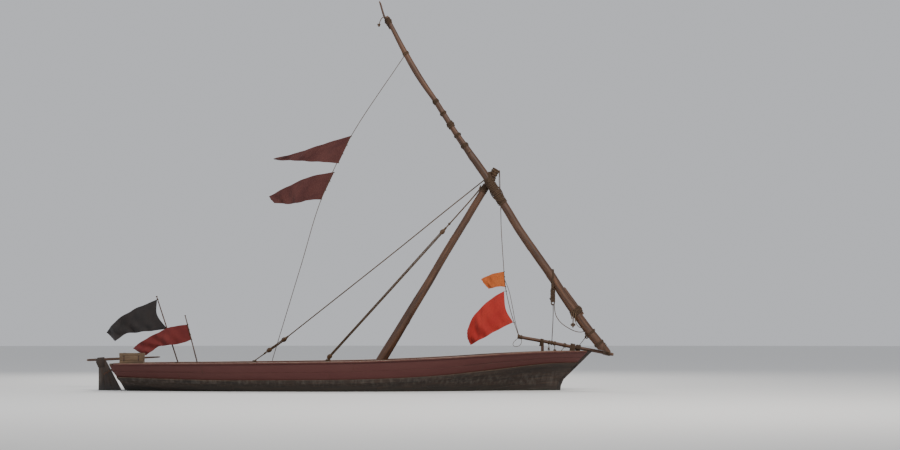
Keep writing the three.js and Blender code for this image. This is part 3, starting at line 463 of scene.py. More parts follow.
class Nodes:
    """A node tree with short calls. Every input may be a value or another node's socket."""

    def __init__(self, tree):
        self.tree = tree

    def __getitem__(self, label):
        """One of the inputs that a group is given."""
        return self.given.outputs[label]

    def feed(self, socket, value):
        if isinstance(value, bpy.types.NodeSocket):
            self.tree.links.new(value, socket)
        else:
            socket.default_value = (*value, 1) if socket.type == "RGBA" else value

    def node(self, kind, inputs, **settings):
        """Adds a node and returns its outputs."""
        made = self.tree.nodes.new("ShaderNode" + kind)
        for key, value in settings.items():
            setattr(made, key, value)
        for key, value in inputs.items():
            self.feed(made.inputs[key], value)
        return made.outputs

    def put(self, group, **inputs):
        """Places a group and returns its outputs."""
        return self.node("Group", inputs, node_tree=group)

    def maths(self, operation, first, second=0.0, clamp=False):
        return self.node("Math", {0: first, 1: second}, operation=operation, use_clamp=clamp)[0]

    def times(self, first, second, clamp=False):
        return self.maths("MULTIPLY", first, second, clamp)

    def plus(self, first, second):
        return self.maths("ADD", first, second)

    def less(self, first, second, clamp=False):
        return self.maths("SUBTRACT", first, second, clamp)

    def mix(self, factor, first, second, mode="MIX"):
        """A mix of two colours."""
        return self.node("Mix", {0: factor, 6: first, 7: second}, data_type="RGBA", blend_type=mode)[2]

    def noise(self, vector, stretch, scale, detail=4.0, roughness=0.55):
        """Noise in a space that is stretched along its three directions."""
        stretched = self.node("VectorMath", {0: vector, 1: stretch}, operation="MULTIPLY")[0]
        return self.node("TexNoise", {"Vector": stretched, "Scale": scale, "Detail": detail,
                                      "Roughness": roughness})["Fac"]

    def steps(self, value, low, high):
        """0 below low, 1 above high, and a straight ramp between them."""
        return self.node("MapRange", {"Value": value, "From Min": low, "From Max": high})["Result"]

    def place(self):
        return self.node("TexCoord", {})["Object"]

    def lay(self):
        return self.node("Attribute", {}, attribute_name="lay")["Vector"]

    def ends(self, **outputs):
        """Ends a group with these outputs and returns its tree."""
        for label in outputs:
            kind = "NodeSocketColor" if label == "Colour" else "NodeSocketFloat"
            self.tree.interface.new_socket(name=label, in_out="OUTPUT", socket_type=kind)
        end = self.tree.nodes.new("NodeGroupOutput")
        for label, value in outputs.items():
            self.feed(end.inputs[label], value)
        return self.tree

    def surface(self, colour, roughness, height, strength, distance, more=()):
        """Feeds a finish's shader, with a relief that follows a height."""
        relief = self.node("Bump", {"Strength": strength, "Distance": distance, "Height": height})["Normal"]
        shader = self.tree.nodes["Principled BSDF"]
        for label, value in {"Base Color": colour, "Roughness": roughness, "Normal": relief,
                             **dict(more)}.items():
            self.feed(shader.inputs[label], value)


def new_group(name, **inputs):
    """An empty node group. An input without a value is a vector."""
    tree = bpy.data.node_groups.new(name, "ShaderNodeTree")
    for label, value in inputs.items():
        kind = "Vector" if value is None else "Float" if isinstance(value, float) else "Color"
        socket = tree.interface.new_socket(name=label, in_out="INPUT", socket_type="NodeSocket" + kind)
        if value is not None:
            socket.default_value = (*value, 1) if kind == "Color" else value
    nodes = Nodes(tree)
    nodes.given = tree.nodes.new("NodeGroupInput")
    return nodes


def new_finish(name):
    """An empty finish and its nodes."""
    material = bpy.data.materials.new(name)
    material.use_nodes = True
    return material, Nodes(material.node_tree)


print("node helpers ready")

# %% Grain, scuffs, sea stain and old paint


def grain_group():
    t = new_group("Timber grain", Lay=None, Pale=(0.3, 0.2, 0.1), Dark=(0.05, 0.03, 0.02), Size=1.0)
    lay = t.node("VectorMath", {0: t["Lay"], "Scale": t["Size"]}, operation="SCALE")[0]
    bands = t.noise(lay, (0.9, 14.0, 14.0), 2.2, 3.0)
    fibres = t.noise(lay, (4.0, 130.0, 130.0), 1.6, 5.0, 0.65)
    blotches = t.noise(lay, (1.0, 2.5, 2.5), 1.3, 3.0)
    streaks = t.plus(t.times(bands, 0.55), t.times(fibres, 0.45))
    colour = t.mix(t.steps(streaks, 0.36, 0.66), t["Dark"], t["Pale"])
    shade = t.mix(t.steps(blotches, 0.3, 0.7), (0.62, 0.6, 0.58), (1.12, 1.1, 1.06))
    return t.ends(Colour=t.mix(1.0, colour, shade, "MULTIPLY"),
                  Height=t.plus(t.times(fibres, 0.7), t.times(bands, 0.5)))


def scuff_group():
    t = new_group("Scuffed arrises", Place=None, Colour=(0.1, 0.1, 0.1), Bare=(0.4, 0.3, 0.2), Amount=0.5)
    worn = t.node("Attribute", {}, attribute_name="wear")["Fac"]
    patches = t.noise(t["Place"], (3.0, 3.0, 3.0), 3.0, 6.0, 0.7)
    arrises = t.steps(t.times(worn, t.times(patches, 1.7)), 0.35, 0.95)
    scratches = t.steps(t.noise(t["Place"], (9.0, 9.0, 30.0), 3.0, 4.0, 0.75), 0.66, 0.78)
    scuff = t.times(t.plus(arrises, t.times(scratches, 0.35)), t["Amount"], True)
    return t.ends(Colour=t.mix(scuff, t["Colour"], t["Bare"]))


def sea_stain_group():
    t = new_group("Sea stain", Place=None, Colour=(0.1, 0.1, 0.1))
    uneven = t.noise(t["Place"], (1.5, 1.5, 5.0), 2.0, 5.0, 0.7)
    height = t.plus(t.node("SeparateXYZ", {0: t["Place"]})["Z"], t.times(t.less(0.5, uneven), 0.16))
    damp = t.less(1.0, t.steps(height, 0.02, 0.16))
    weed = t.times(t.less(1.0, t.steps(height, -0.06, 0.05)), 0.7)
    salt = t.times(t.steps(height, 0.08, 0.2), t.less(1.0, t.steps(height, 0.24, 0.5)))
    streaks = t.steps(t.noise(t["Place"], (7.0, 7.0, 0.5), 2.0, 4.0, 0.6), 0.45, 0.85)
    colour = t.mix(t.times(damp, 0.5), t["Colour"], (0.012, 0.011, 0.009))
    colour = t.mix(weed, colour, (0.022, 0.028, 0.012))
    colour = t.mix(t.times(t.times(salt, streaks), 0.22), colour, (0.36, 0.33, 0.29))
    return t.ends(Colour=colour, Damp=damp)


def paint_group():
    t = new_group("Old paint", Place=None, Wood=(0.1, 0.1, 0.1), Paint=(0.3, 0.0, 0.0), Left=0.7)
    flakes = t.noise(t["Place"], (2.0, 4.0, 9.0), 4.0, 8.0, 0.72)
    bare = t.times(t.less(1.0, t["Left"]), 0.8)
    painted = t.times(t.less(flakes, bare), 12.0, True)
    faded = t.noise(t["Place"], (0.8, 2.0, 3.0), 2.0, 4.0)
    paint = t.mix(t.times(faded, 0.45), t["Paint"], (0.105, 0.035, 0.026))
    return t.ends(Colour=t.mix(painted, t["Wood"], paint))


def outside_group():
    """1 on faces that look away from the boat's middle, and 0 on faces that look inwards."""
    t = new_group("Outside")
    geometry = t.node("NewGeometry", {})
    level = t.node("VectorMath", {0: geometry["Position"], 1: (1.0, 1.0, 0.0)}, operation="MULTIPLY")[0]
    looks = t.node("VectorMath", {0: geometry["True Normal"], 1: level}, operation="DOT_PRODUCT")["Value"]
    return t.ends(Outside=t.maths("GREATER_THAN", looks))


GRAIN, SCUFFS, SEA_STAIN, OLD_PAINT = grain_group(), scuff_group(), sea_stain_group(), paint_group()
OUTSIDE = outside_group()
print("shared effects:", [group.name for group in (GRAIN, SCUFFS, SEA_STAIN, OLD_PAINT)])

# %% Timber finishes


def timber(name, colours, scuffed, rough, afloat=False, paint=None, left=0.7, size=1.0, lean=None,
           bump=0.35,
           within=None):
    """A timber finish. colours are the grain's pale and dark, and bare wood. lean turns the place instead of
    reading the lay, for a solid that has none. within gives the pale and dark of faces that look inboard,
    where neither paint nor sea reaches."""
    material, t = new_finish(name)
    pale, dark, bare = colours
    place = t.place()
    lay = t.lay() if lean is None else t.node("Mapping", {"Vector": place, "Rotation": lean})["Vector"]
    if within:
        outside = t.put(OUTSIDE)["Outside"]
        pale, dark = t.mix(outside, within[0], pale), t.mix(outside, within[1], dark)
    grain = t.put(GRAIN, Lay=lay, Pale=pale, Dark=dark, Size=size)
    colour = grain["Colour"]
    if paint:
        colour = t.put(OLD_PAINT, Place=place, Wood=colour, Paint=paint, Left=left)["Colour"]
    colour = t.put(SCUFFS, Place=place, Colour=colour, Bare=bare, Amount=scuffed)["Colour"]
    roughness = t.plus(t.times(grain["Height"], 0.22), rough - 0.12)
    if afloat:
        sea = t.put(SEA_STAIN, Place=place, Colour=colour)
        colour = sea["Colour"]
        damp = t.times(sea["Damp"], 0.2)
        roughness = t.less(roughness, t.times(damp, outside) if within else damp, True)
    if within:
        colour = t.mix(outside, grain["Colour"], colour)
    t.surface(colour, roughness, grain["Height"], bump, 0.004)
    return material


# Each is the pale and the dark of the grain, and bare wood
TARRED = ((0.052, 0.028, 0.016), (0.01, 0.006, 0.004), (0.15, 0.095, 0.055))
BACKBONE = ((0.04, 0.022, 0.013), (0.008, 0.005, 0.0035), (0.15, 0.095, 0.055))
OILED = ((0.115, 0.064, 0.034), (0.03, 0.016, 0.009), (0.21, 0.135, 0.08))
WORN_RAIL = ((0.075, 0.03, 0.017), (0.018, 0.008, 0.005), (0.22, 0.135, 0.08))
SCRUBBED = ((0.2, 0.128, 0.072), (0.062, 0.036, 0.019), (0.31, 0.22, 0.14))
GROWN = ((0.135, 0.058, 0.025), (0.03, 0.012, 0.006), (0.22, 0.125, 0.062))
TURNED = ((0.16, 0.085, 0.04), (0.05, 0.024, 0.011), (0.26, 0.17, 0.09))
INBOARD = ((0.088, 0.048, 0.026), (0.022, 0.012, 0.007))
QUARTER = math.pi / 2
finish_hull = timber("tarred_planks", TARRED, 0.5, 0.62, afloat=True, within=INBOARD)
finish_sheer = timber("maroon_sheer_strakes", TARRED, 0.55, 0.6, paint=(0.06, 0.0075, 0.006),
                      left=0.74, within=INBOARD)
finish_inside = timber("oiled_inside", OILED, 0.5, 0.7)
finish_rail = timber("worn_rail", WORN_RAIL, 0.7, 0.58, paint=(0.066, 0.009, 0.007), left=0.55)
finish_deck = timber("scrubbed_deck", SCRUBBED, 0.6, 0.78)
finish_spar = timber("grown_spar", GROWN, 0.45, 0.56, size=0.8, bump=0.5)
finish_block = timber("oiled_block", TURNED, 0.7, 0.45, size=2.5)
# These dress solids that have no lay, so the grain is turned to run along or up them
finish_backbone = timber("tarred_backbone", BACKBONE, 0.5, 0.6, afloat=True, lean=(0, 0, 0))
finish_partner = timber("oiled_partner", OILED, 0.5, 0.7, lean=(0, 0, QUARTER))
finish_post = timber("oiled_post", GROWN, 0.45, 0.6, lean=(0, QUARTER, 0))
print("timber finishes made")

# %% Rusted iron


def rust_group():
    t = new_group("Rust", Place=None)
    blooms = t.noise(t["Place"], (1.0, 1.0, 1.0), 24.0, 8.0, 0.7)
    pits = t.noise(t["Place"], (1.0, 1.0, 1.0), 160.0, 4.0, 0.7)
    rusted = t.steps(blooms, 0.38, 0.56)
    rust = t.mix(pits, (0.045, 0.017, 0.008), (0.095, 0.036, 0.014))
    return t.ends(Colour=t.mix(rusted, (0.035, 0.03, 0.027), rust), Clean=t.less(1.0, rusted),
                  Height=t.plus(pits, t.times(rusted, 0.6)))


def iron():
    material, t = new_finish("rusted_iron")
    rust = t.put(rust_group(), Place=t.place())
    roughness = t.less(0.82, t.times(rust["Clean"], 0.28))
    t.surface(rust["Colour"], roughness, rust["Height"], 0.5, 0.001,
              {"Metallic": t.times(rust["Clean"], 0.55)})
    return material


finish_iron = iron()
print("iron finish made")

# %% [markdown]
# ## Planking
# The boat is carvel built: planks lie edge to edge over the frames and the seams are caulked. A single skin
# with drawn lines would look flat, so each plank here is its own closed slab. Its outer arrises are eased,
# which leaves a small V at every seam, and each lies a hair prouder or lower than its neighbour. Butts are
# staggered, and the thick wale stands out below the two painted strakes under the rail.

# %% Lay the strakes
SEAMS = [0, 0.1, 0.2, 0.3, 0.4, 0.5, 0.6, 0.7, 0.79, 0.84, 0.92, 1]
WALE = 8
PAINTED_FROM = 9
WALE_PROUD = 0.028
SEAM_EASE = 0.0045
PLANK_STEP = 0.085
# A plank is crowned across, wavy along, and stands proud of its neighbour or lower by this at most
PLANK_CROWN, PLANK_WAVE, PLANK_PROUD = 0.0012, 0.0011, 0.0009
FRAME_STEP = 0.11
BUTTS = [(-0.6, 0.05, 0.62), (-0.27, 0.38), (-0.49, 0.16, 0.71), (-0.16, 0.49), (-0.71, -0.05, 0.6)]


def plank(pile, at0, at1, up0, up1, proud, seed):
    """One plank between two stations and two seams."""
    ease_at = SEAM_EASE / HALF_LENGTH
    shared = np.linspace(-1, 1, int(2 * HALF_LENGTH / PLANK_STEP))
    shared = shared[(shared > at0 + 2 * ease_at) & (shared < at1 - 2 * ease_at)]
    ats = np.concatenate([[at0, at0 + ease_at], shared, [at1 - ease_at, at1]])
    foot, head = (skin_point(ats, np.full_like(ats, up)) for up in (up0, up1))
    widths = np.linalg.norm(head - foot, axis=-1)
    width = float(np.median(widths))
    ease = np.clip(SEAM_EASE / np.maximum(widths, 0.01), 0, 0.2)
    shares = np.stack(np.broadcast_arrays(0.0, ease, 0.25, 0.5, 0.75, 1 - ease, 1.0), -1)
    tip = np.zeros((len(ats), 1))
    tip[[0, -1]] = SEAM_EASE
    low_edge = SEAM_EASE * np.array([1, 0, 0, 0, 0, 0, 1])
    crown = PLANK_CROWN * np.array([0, 0, 0.8, 1, 0.8, 0, 0])
    uneven = wobble(seed, ats, PLANK_WAVE, 0.12)[:, None] + random.Random(seed).uniform(-PLANK_PROUD,
                                                                                        PLANK_PROUD)
    out = PLANK + proud + crown[None] + uneven - np.maximum(tip, low_edge[None])
    ups = up0 + (up1 - up0) * shares
    outer = skin(ats[:, None], ups, -out)
    inner = skin(ats[:, None], ups, 0.0)
    run = ats * HALF_LENGTH
    lay = [np.stack(np.broadcast_arrays(run[:, None] + seed * 2.7, shares * width + seed * 0.37, deep), -1)
           for deep in (out, 0.0)]
    wear = np.broadcast_to(np.maximum(tip, low_edge[None]) / SEAM_EASE, outer.shape[:2])
    pile.add(np.stack([outer, inner]), slab_faces(*shares.shape), np.stack(lay),
             np.stack([wear, wear * 0.3]).ravel())


def lay_strakes(rows):
    pile = Pile()
    for row in rows:
        ends = [-1, *BUTTS[row % len(BUTTS)], 1]
        for k, (at0, at1) in enumerate(zip(ends, ends[1:])):
            proud = WALE_PROUD if row == WALE else 0.0
            plank(pile, at0, at1, SEAMS[row], SEAMS[row + 1], proud, 11 * row + k)
    return pile


for side, mirror in SIDES:
    low, high = lay_strakes(range(PAINTED_FROM)), lay_strakes(range(PAINTED_FROM, len(SEAMS) - 1))
    make(f"strakes_{side}", low, finish_hull, replaces=[f"planking_{side}"], mirror=mirror)
    make(f"sheer_strakes_{side}", high, finish_sheer, mirror=mirror)

# %% [markdown]
# ## Frames, keelson and rails
# The planks are nailed to frames that were sawn from crooked timber, and a keelson ties the floor timbers
# together over the keel. The rail is a flat capping in three lengths, which hands and ropes have worn round.

# %% Set up the frames and the keelson
FRAMES_EACH_WAY = 8
FRAME_HALF = 0.032
FRAME_DEPTH = 0.060
FLOOR_TOP = -0.300
FLOOR_HALF_WIDTH = 0.230
KEELSON = {"reach": 4.15, "half": 0.06, "low": -0.345, "top": -0.230}
frame_stations = [(i - FRAMES_EACH_WAY) * FRAME_STEP for i in range(2 * FRAMES_EACH_WAY + 1)]


def hull_frame(pile, at, seed):
    """One frame from rail to rail: futtocks up the sides and a floor timber across the keel."""
    ups = np.linspace(0.05, 1.0, 22)
    fine = np.linspace(0, 1, 101)
    wide = skin_point(np.full(101, at), fine)
    top = max(FLOOR_TOP, float(np.interp(FLOOR_HALF_WIDTH, wide[:, 1], wide[:, 2])))
    ease = 0.006
    grids = []
    for shift, eased in ((-FRAME_HALF, 1), (-FRAME_HALF + ease, 0), (FRAME_HALF - ease, 0), (FRAME_HALF, 1)):
        share = at + shift / HALF_LENGTH
        outer = skin(share, ups, SEAT)
        depth = FRAME_DEPTH + wobble(seed, ups, 0.004, 0.9) - ease * eased
        inner = skin(share, ups, depth)
        low = (outer[:, 1] < FLOOR_HALF_WIDTH) | (inner[:, 2] < top)
        inner[low, 2] = top - ease * eased
        inner[low, 1] = outer[low, 1] * 0.92
        keel_out = [(outer[0, 0], y, KEEL_TOP + SEAT) for y in (-0.001, HALF_SIDING)]
        keel_in = [(inner[0, 0], y, top - ease * eased) for y in (-0.001, HALF_SIDING)]
        grids.append((np.vstack([keel_out, outer]), np.vstack([keel_in, inner])))
    outer = np.stack([g[0] for g in grids])
    inner = np.stack([g[1] for g in grids])
    run = np.concatenate([[-0.1, -0.05], ups * 1.9])
    lay = np.stack(np.broadcast_arrays(run + seed, outer[..., 0], np.linspace(0, 0.06, 4)[:, None]), -1)
    worn = np.zeros(inner.shape[:2])
    worn[[0, -1]] = 0.9
    for flip in (1, -1):
        points = np.stack([outer, inner]) * (1, flip, 1)
        pile.add(points, slab_faces(*outer.shape[:2]), np.stack([lay, lay + 0.02]),
                 np.concatenate([np.zeros(outer.shape[:2]).ravel(), worn.ravel()]))


frames_pile = Pile()
for k, at in enumerate(frame_stations):
    hull_frame(frames_pile, at, 40 + k)
middle = (KEELSON["low"] + KEELSON["top"]) / 2
tall = KEELSON["top"] - KEELSON["low"]
for k, (aft, fore) in enumerate([(-KEELSON["reach"], -0.9), (-0.897, KEELSON["reach"])]):
    board(frames_pile, (aft, 0, middle), (fore, 0, middle), 2 * KEELSON["half"], tall, arris=0.009,
          seed=60 + k)
make("hull_frames", frames_pile, finish_inside, replaces=["frames"])

# %% Fit the rails
RAIL_OUTSIDE = 0.025
RAIL_INSIDE = 0.020
RAIL_ROUND = 0.012
RAIL_STEP = 0.1
RAIL_ENDS = [(-0.983, -0.36), (-0.3598, 0.31), (0.3102, 1.0)]


def rail_edges(at):
    """The rail's inner and outer edges."""
    return skin(at, 1.0, FRAME_DEPTH + RAIL_INSIDE), skin(at, 1.0, -PLANK - RAIL_OUTSIDE)


def rail_length(pile, at0, at1, seed):
    """A length of rail: a flat capping with a rounded section that follows the sheer."""
    ease = RAIL_ROUND / 2 / HALF_LENGTH
    between = np.linspace(at0, at1, int((at1 - at0) * HALF_LENGTH / RAIL_STEP))[1:-1]
    ats = np.concatenate([[at0, at0 + ease], between, [at1 - ease, at1]])
    inner, outer = rail_edges(ats)
    inner[:, 1] = np.maximum(inner[:, 1], HALF_SIDING + 0.0006)
    across = unit(outer - inner)
    width = np.linalg.norm(outer - inner, axis=1)
    corners = [(RAIL_ROUND * (1 - math.cos(a)), RAIL_ROUND * (1 - math.sin(a)))
               for a in np.linspace(0, QUARTER, 4)]
    profile = [(x, y, 0, 0) for x, y in corners] + [(x, y, 1, 0) for x, y in corners[::-1]]
    profile += [(x, y, 1, 1) for x, y in corners] + [(x, y, 0, 1) for x, y in corners[::-1]]
    rings, lay, wear = [], [], []
    sag = wobble(seed, ats, 0.002, 0.3)
    for i, at in enumerate(ats):
        shrink = RAIL_ROUND / 3 if i in (0, len(ats) - 1) else 0
        for inset, drop, far, low in profile:
            inset, drop = inset + shrink, drop + shrink
            out = max(width[i] - inset, 0.0) + sag[i] * 0.5 if far else inset
            height = RAIL_THICKNESS - drop
            if low:
                height = SEAT + (drop if drop < RAIL_ROUND * 0.5 else drop * 0.5)
            rings.append(inner[i] + across[i] * out + np.array([0, 0, height]))
            lay.append((at * HALF_LENGTH + seed, out, height))
            wear.append(0.35 if low else 0.55 + 0.45 * (inset > 0.001))
    pile.add(rings, ring_faces(len(ats), len(profile)), lay, wear)


for side, mirror in SIDES:
    rail_pile = Pile()
    for k, (at0, at1) in enumerate(RAIL_ENDS):
        rail_length(rail_pile, at0, at1, 70 + k)
    make(f"capping_{side}", rail_pile, finish_rail, replaces=[f"rail_{side}"], mirror=mirror)

# %% [markdown]
# ## Spars
# Mast and yard are grown trunks with the bark off. They taper, they are never quite straight, and every old
# branch leaves a low knot. A lathe-turned bar would look machined, so each ring of points here has its own
# small offset, and knots push single places out. The yard is two trunks: the upper one lies on the outer
# side of the lower one and is lashed to it, so from the side they make one long taper, with a light pole at
# the peak.

# %% Shape the spars
YARD_SIDE = -0.195
MAST_AT_WATER = 0.419
MAST_RAKE = 0.601
MAST_RADII = [(-0.165, 0.112), (0.63, 0.116), (2.7, 0.088), (4.3, 0.08), (4.973, 0.077)]
# Rows of X, Z, radius and, where it isn't the yard's plane, the place across
LOWER_SPAR = [
    (5.874, 0.8, 0.108), (5.669, 1.079, 0.104), (5.358, 1.481, 0.102), (4.968, 2.018, 0.099),
              (4.545, 2.689, 0.097),
    (4.065, 3.362, 0.095), (3.64, 4.037, 0.092), (3.225, 4.712, 0.088), (2.994, 5.05, 0.087),
              (2.848, 5.253, 0.083),
    (2.71, 5.456, 0.076), (2.427, 5.862, 0.062), (2.165, 6.264, 0.053), (1.96, 6.59, 0.046),
]
UPPER_SPAR = [
    (2.795, 5.33, 0.048, -0.329), (2.568, 5.659, 0.055, -0.323), (2.301, 6.066, 0.06, -0.315),
    (2.042, 6.468, 0.058, -0.307), (1.765, 6.875, 0.066, -0.3), (1.57, 7.19, 0.07, -0.294),
    (1.403, 7.487, 0.065, -0.288), (1.229, 7.81, 0.056, -0.282), (1.077, 8.099, 0.05, -0.276),
    (0.925, 8.4, 0.048, -0.271),
]
PEAK_POLE = [(1.01, 8.12, 0.022, -0.215), (0.88, 8.4, 0.023, -0.215), (0.79, 8.7, 0.022, -0.215),
             (0.765, 8.756, 0.02, -0.215)]
HEEL_FISH = [(5.33, 1.69, 0.044), (5.11, 1.985, 0.05), (4.9, 2.29, 0.042)]
BOWSPRIT = [(3.876, 1.202, 0.038), (6.031, 0.8, 0.038)]


def mast_x(z):
    return MAST_AT_WATER + MAST_RAKE * z


def grown_bar(pile, line, radii, sides, seed, step=0.06, uneven=0.03, knots_each=0.9, bow=0.0,
              soft_end=0.012):
    """A trunk with the bark off: an uneven round bar with knots and worn ends."""
    line = np.asarray(line, float)
    spine = through(line, step)
    run, given = run_along(spine), run_along(line)
    radius = np.interp(run / run[-1] * given[-1], given, radii)
    across, out = turned_frames(spine)
    spine = spine + across * wobble(seed, run, bow, 3.0)[:, None] + out * wobble(seed + 1, run, bow,
                                                                                 2.3)[:, None]
    angles = math.tau * np.arange(sides) / sides
    grown = np.ones((len(run), sides))
    for k in (1, 2, 3, 5):
        phase = wobble(seed + 7 * k, run, 1.6, 1.8)[:, None]
        grown += uneven / k * np.cos(k * angles + phase) * (0.6 + 0.4 * wobble(seed + k, run, 1, 0.9)[:,
                                                                                                      None])
    draw = random.Random(seed)
    place = draw.uniform(0.2, 0.6)
    while place < run[-1] - 0.15:
        turn, size, swell = draw.uniform(0, math.tau), draw.uniform(0.03, 0.055), draw.uniform(0.06, 0.13)
        round_it = radius[:, None] * np.angle(np.exp(1j * (angles - turn)))
        grown += swell * np.exp(-((run[:, None] - place) ** 2 + round_it**2) / size**2)
        place += draw.uniform(0.5, 1.5) * knots_each
    wear = 0.15 + np.clip((grown - 1) * 4, 0, 0.7)
    wear[[0, -1]] = 1.0
    rings = radius[:, None] * grown
    rings[[0, -1]] -= soft_end * 0.6
    bar(pile, spine, (across, out), run + seed * 1.3, rings, wear)


def spar_line(rows, side):
    return [(row[0], row[3] if len(row) > 3 else side, row[1]) for row in rows]


def spar(name, rows, side, body, sides, seed, replaces, sawn=None, **look):
    """One spar. sawn gives a plane, as a place and a direction, that its first end is cut back to."""
    pile = Pile()
    grown_bar(pile, spar_line(rows, side), [row[2] for row in rows], sides, seed, **look)
    if sawn:
        place, facing = np.array(sawn[0]), np.array(sawn[1])
        line = np.array(spar_line(rows, side))
        along = unit(line[1] - line[0])
        points = pile.points[0]
        short = np.minimum((points - place) @ facing, 0) / (along @ facing)
        pile.points[0] = points - along * short[:, None]
    return make(name, pile, finish_spar, body=body, replaces=replaces)


mast_rows = [(mast_x(z), z, r) for z, r in MAST_RADII]
spar("mast_trunk", mast_rows, 0.0, "hull", 28, 101, ["mast"], uneven=0.018, bow=0.004)
# The heel is sawn off along the bowsprit, just above it
heel_cut = ((5.69, 0.0, 0.906), unit(np.array([0.402, 0.0, 2.155])))
spar("yard_lower_trunk", LOWER_SPAR, YARD_SIDE, "yard", 24, 111, ["yard_lower_spar"], sawn=heel_cut,
     uneven=0.03,
     bow=0.004)
spar("yard_upper_trunk", UPPER_SPAR, YARD_SIDE, "yard", 20, 121, ["yard_upper_spar"], uneven=0.035, bow=0.004)
spar("yard_peak_stick", PEAK_POLE, YARD_SIDE, "yard", 12, 131, ["yard_peak_pole"], step=0.04, knots_each=0.4)
spar("yard_heel_sister", HEEL_FISH, YARD_SIDE, "yard", 16, 141, ["yard_heel_fish"], step=0.04)
spar("bowsprit_pole", BOWSPRIT, 0.0, "hull", 16, 151, ["bowsprit"], uneven=0.03, bow=0.003)

# %% [markdown]
# ## Rope
# The rigging is laid rope: three strands twisted together. A smooth tube would read as wire, so each rope's
# section has three lobes that turn as it runs, and the finish paints shade into the grooves between them.
# Stays bear a load, so they are nearly straight.

# %% Rope finishes


def laid_rope_group():
    t = new_group("Laid rope", Lay=None, Fibre=(0.4, 0.3, 0.2), Groove=(0.1, 0.07, 0.04), Pitch=0.06)
    parted = t.node("SeparateXYZ", {0: t["Lay"]})
    turned = t.maths("DIVIDE", t.times(parted["X"], math.tau), t["Pitch"])
    phase = t.times(t.less(t.maths("ARCTAN2", parted["Z"], parted["Y"]), turned), 1.5)
    crest = t.maths("ABSOLUTE", t.maths("COSINE", phase))
    fuzz = t.noise(t["Lay"], (60.0, 160.0, 160.0), 1.0, 3.0, 0.7)
    dirt = t.noise(t["Lay"], (2.5, 8.0, 8.0), 1.0, 4.0, 0.6)
    # Painted shade: the grooves between the strands take the darker colour, turning with the strands' twist
    colour = t.mix(t.steps(crest, 0.05, 0.75), t["Groove"], t["Fibre"])
    # Dirt patches take the same darker colour, as real dirt
    colour = t.mix(t.times(t.steps(dirt, 0.42, 0.72), 0.55), colour, t["Groove"])
    return t.ends(Colour=t.mix(t.times(fuzz, 0.3), colour, t["Fibre"]),
                  Height=t.plus(crest, t.times(fuzz, 0.5)))


LAID_ROPE = laid_rope_group()
ROPE_TWIST = 3.4  # a strand's full turn, in diameters of the rope


def rope_finish(name, fibre, groove_shade_and_dirt, pitch):
    material, t = new_finish(name)
    rope = t.put(LAID_ROPE, Lay=t.lay(), Fibre=fibre, Groove=groove_shade_and_dirt, Pitch=pitch)
    t.surface(rope["Colour"], 0.92, rope["Height"], 0.6, 0.003)
    return material


# Each: the fibre's colour, a darker colour that is painted shade in the grooves and also the dirt, and a
# strand's pitch
finish_stay = rope_finish("tarred_stay", (0.12, 0.07, 0.034), (0.024, 0.013, 0.007), 0.09)
finish_lashing = rope_finish("tarred_lashing", (0.085, 0.047, 0.024), (0.016, 0.009, 0.005), 0.065)
finish_line = rope_finish("coir_line", (0.12, 0.07, 0.036), (0.024, 0.013, 0.007), 0.05)
print("rope finishes made")

# %% Laying rope along a route or round timbers
TURN_APART = 1.02  # from one turn to the next, in diameters of the rope
LAYER_APART = 0.85
ACROSS = np.array([0.0, 1.0, 0.0])


def laid_rope(pile, points, radius, seed=0, sides=9):
    """Three-strand rope through points."""
    pitch = 2 * radius * ROPE_TWIST
    tube(pile, through(points, pitch / 7), radius, sides, lobes=3, pitch=pitch, seed=seed)


def lash(pile, centre, axis, held, rope, turns, seed, crossing=0.0, layers=1, each_turn=26):
    """Turns of rope drawn tight round what they hold. held is the radius of one round bar, or a list of
    ellipses across the axis: a centre along +Y and along the other way across, and the two half widths.
    crossing slants the turns."""
    axis = unit(np.array(axis, float))
    side = unit(ACROSS - axis * axis[1])
    other = np.cross(axis, side)
    held = [(0, 0, held, held)] if np.isscalar(held) else held
    t = np.linspace(0, 1, int(turns * layers * each_turn))
    angle = math.tau * turns * layers * t + seed

    def reach(a, grow):
        return np.max([x * np.cos(a) + y * np.sin(a) + np.hypot((p + grow) * np.cos(a),
                                                                (q + grow) * np.sin(a))
                       for x, y, p, q in held], axis=0)

    layer = np.floor(t * layers * 0.9999)
    grow = rope * (0.5 + layer * LAYER_APART) + np.abs(wobble(seed, t, rope * 0.12, 0.2))
    delta = 0.06
    soft = lambda a: sum(reach(a + k * delta, grow) for k in (-2, -1, 0, 1, 2)) / 5
    high = soft(angle)
    slope = (soft(angle + delta) - soft(angle - delta)) / (2 * delta)
    u = high * np.cos(angle) - slope * np.sin(angle)
    v = high * np.sin(angle) + slope * np.cos(angle)
    inside = t * layers - layer
    run = np.where(layer % 2 == 0, inside, 1 - inside) - 0.5
    shift = run * turns * rope * TURN_APART + wobble(seed + 5, t, rope * 0.22,
                                                     0.13) + crossing * np.cos(angle)
    points = np.array(centre, float) + axis * shift[:, None] + side * u[:, None] + other * v[:, None]
    tube(pile, points, rope / 2, seed=seed)


def turns_of(name, lashings, body="hull", replaces=(), finish=finish_lashing):
    """A piece made of lashings alone. Each is a list of what lash is given, and may end in a dict of the
    rest."""
    pile = Pile()
    for lashing in lashings:
        more = lashing[-1] if isinstance(lashing[-1], dict) else {}
        lash(pile, *lashing[:len(lashing) - bool(more)], **more)
    return make(name, pile, finish, body=body, replaces=replaces)


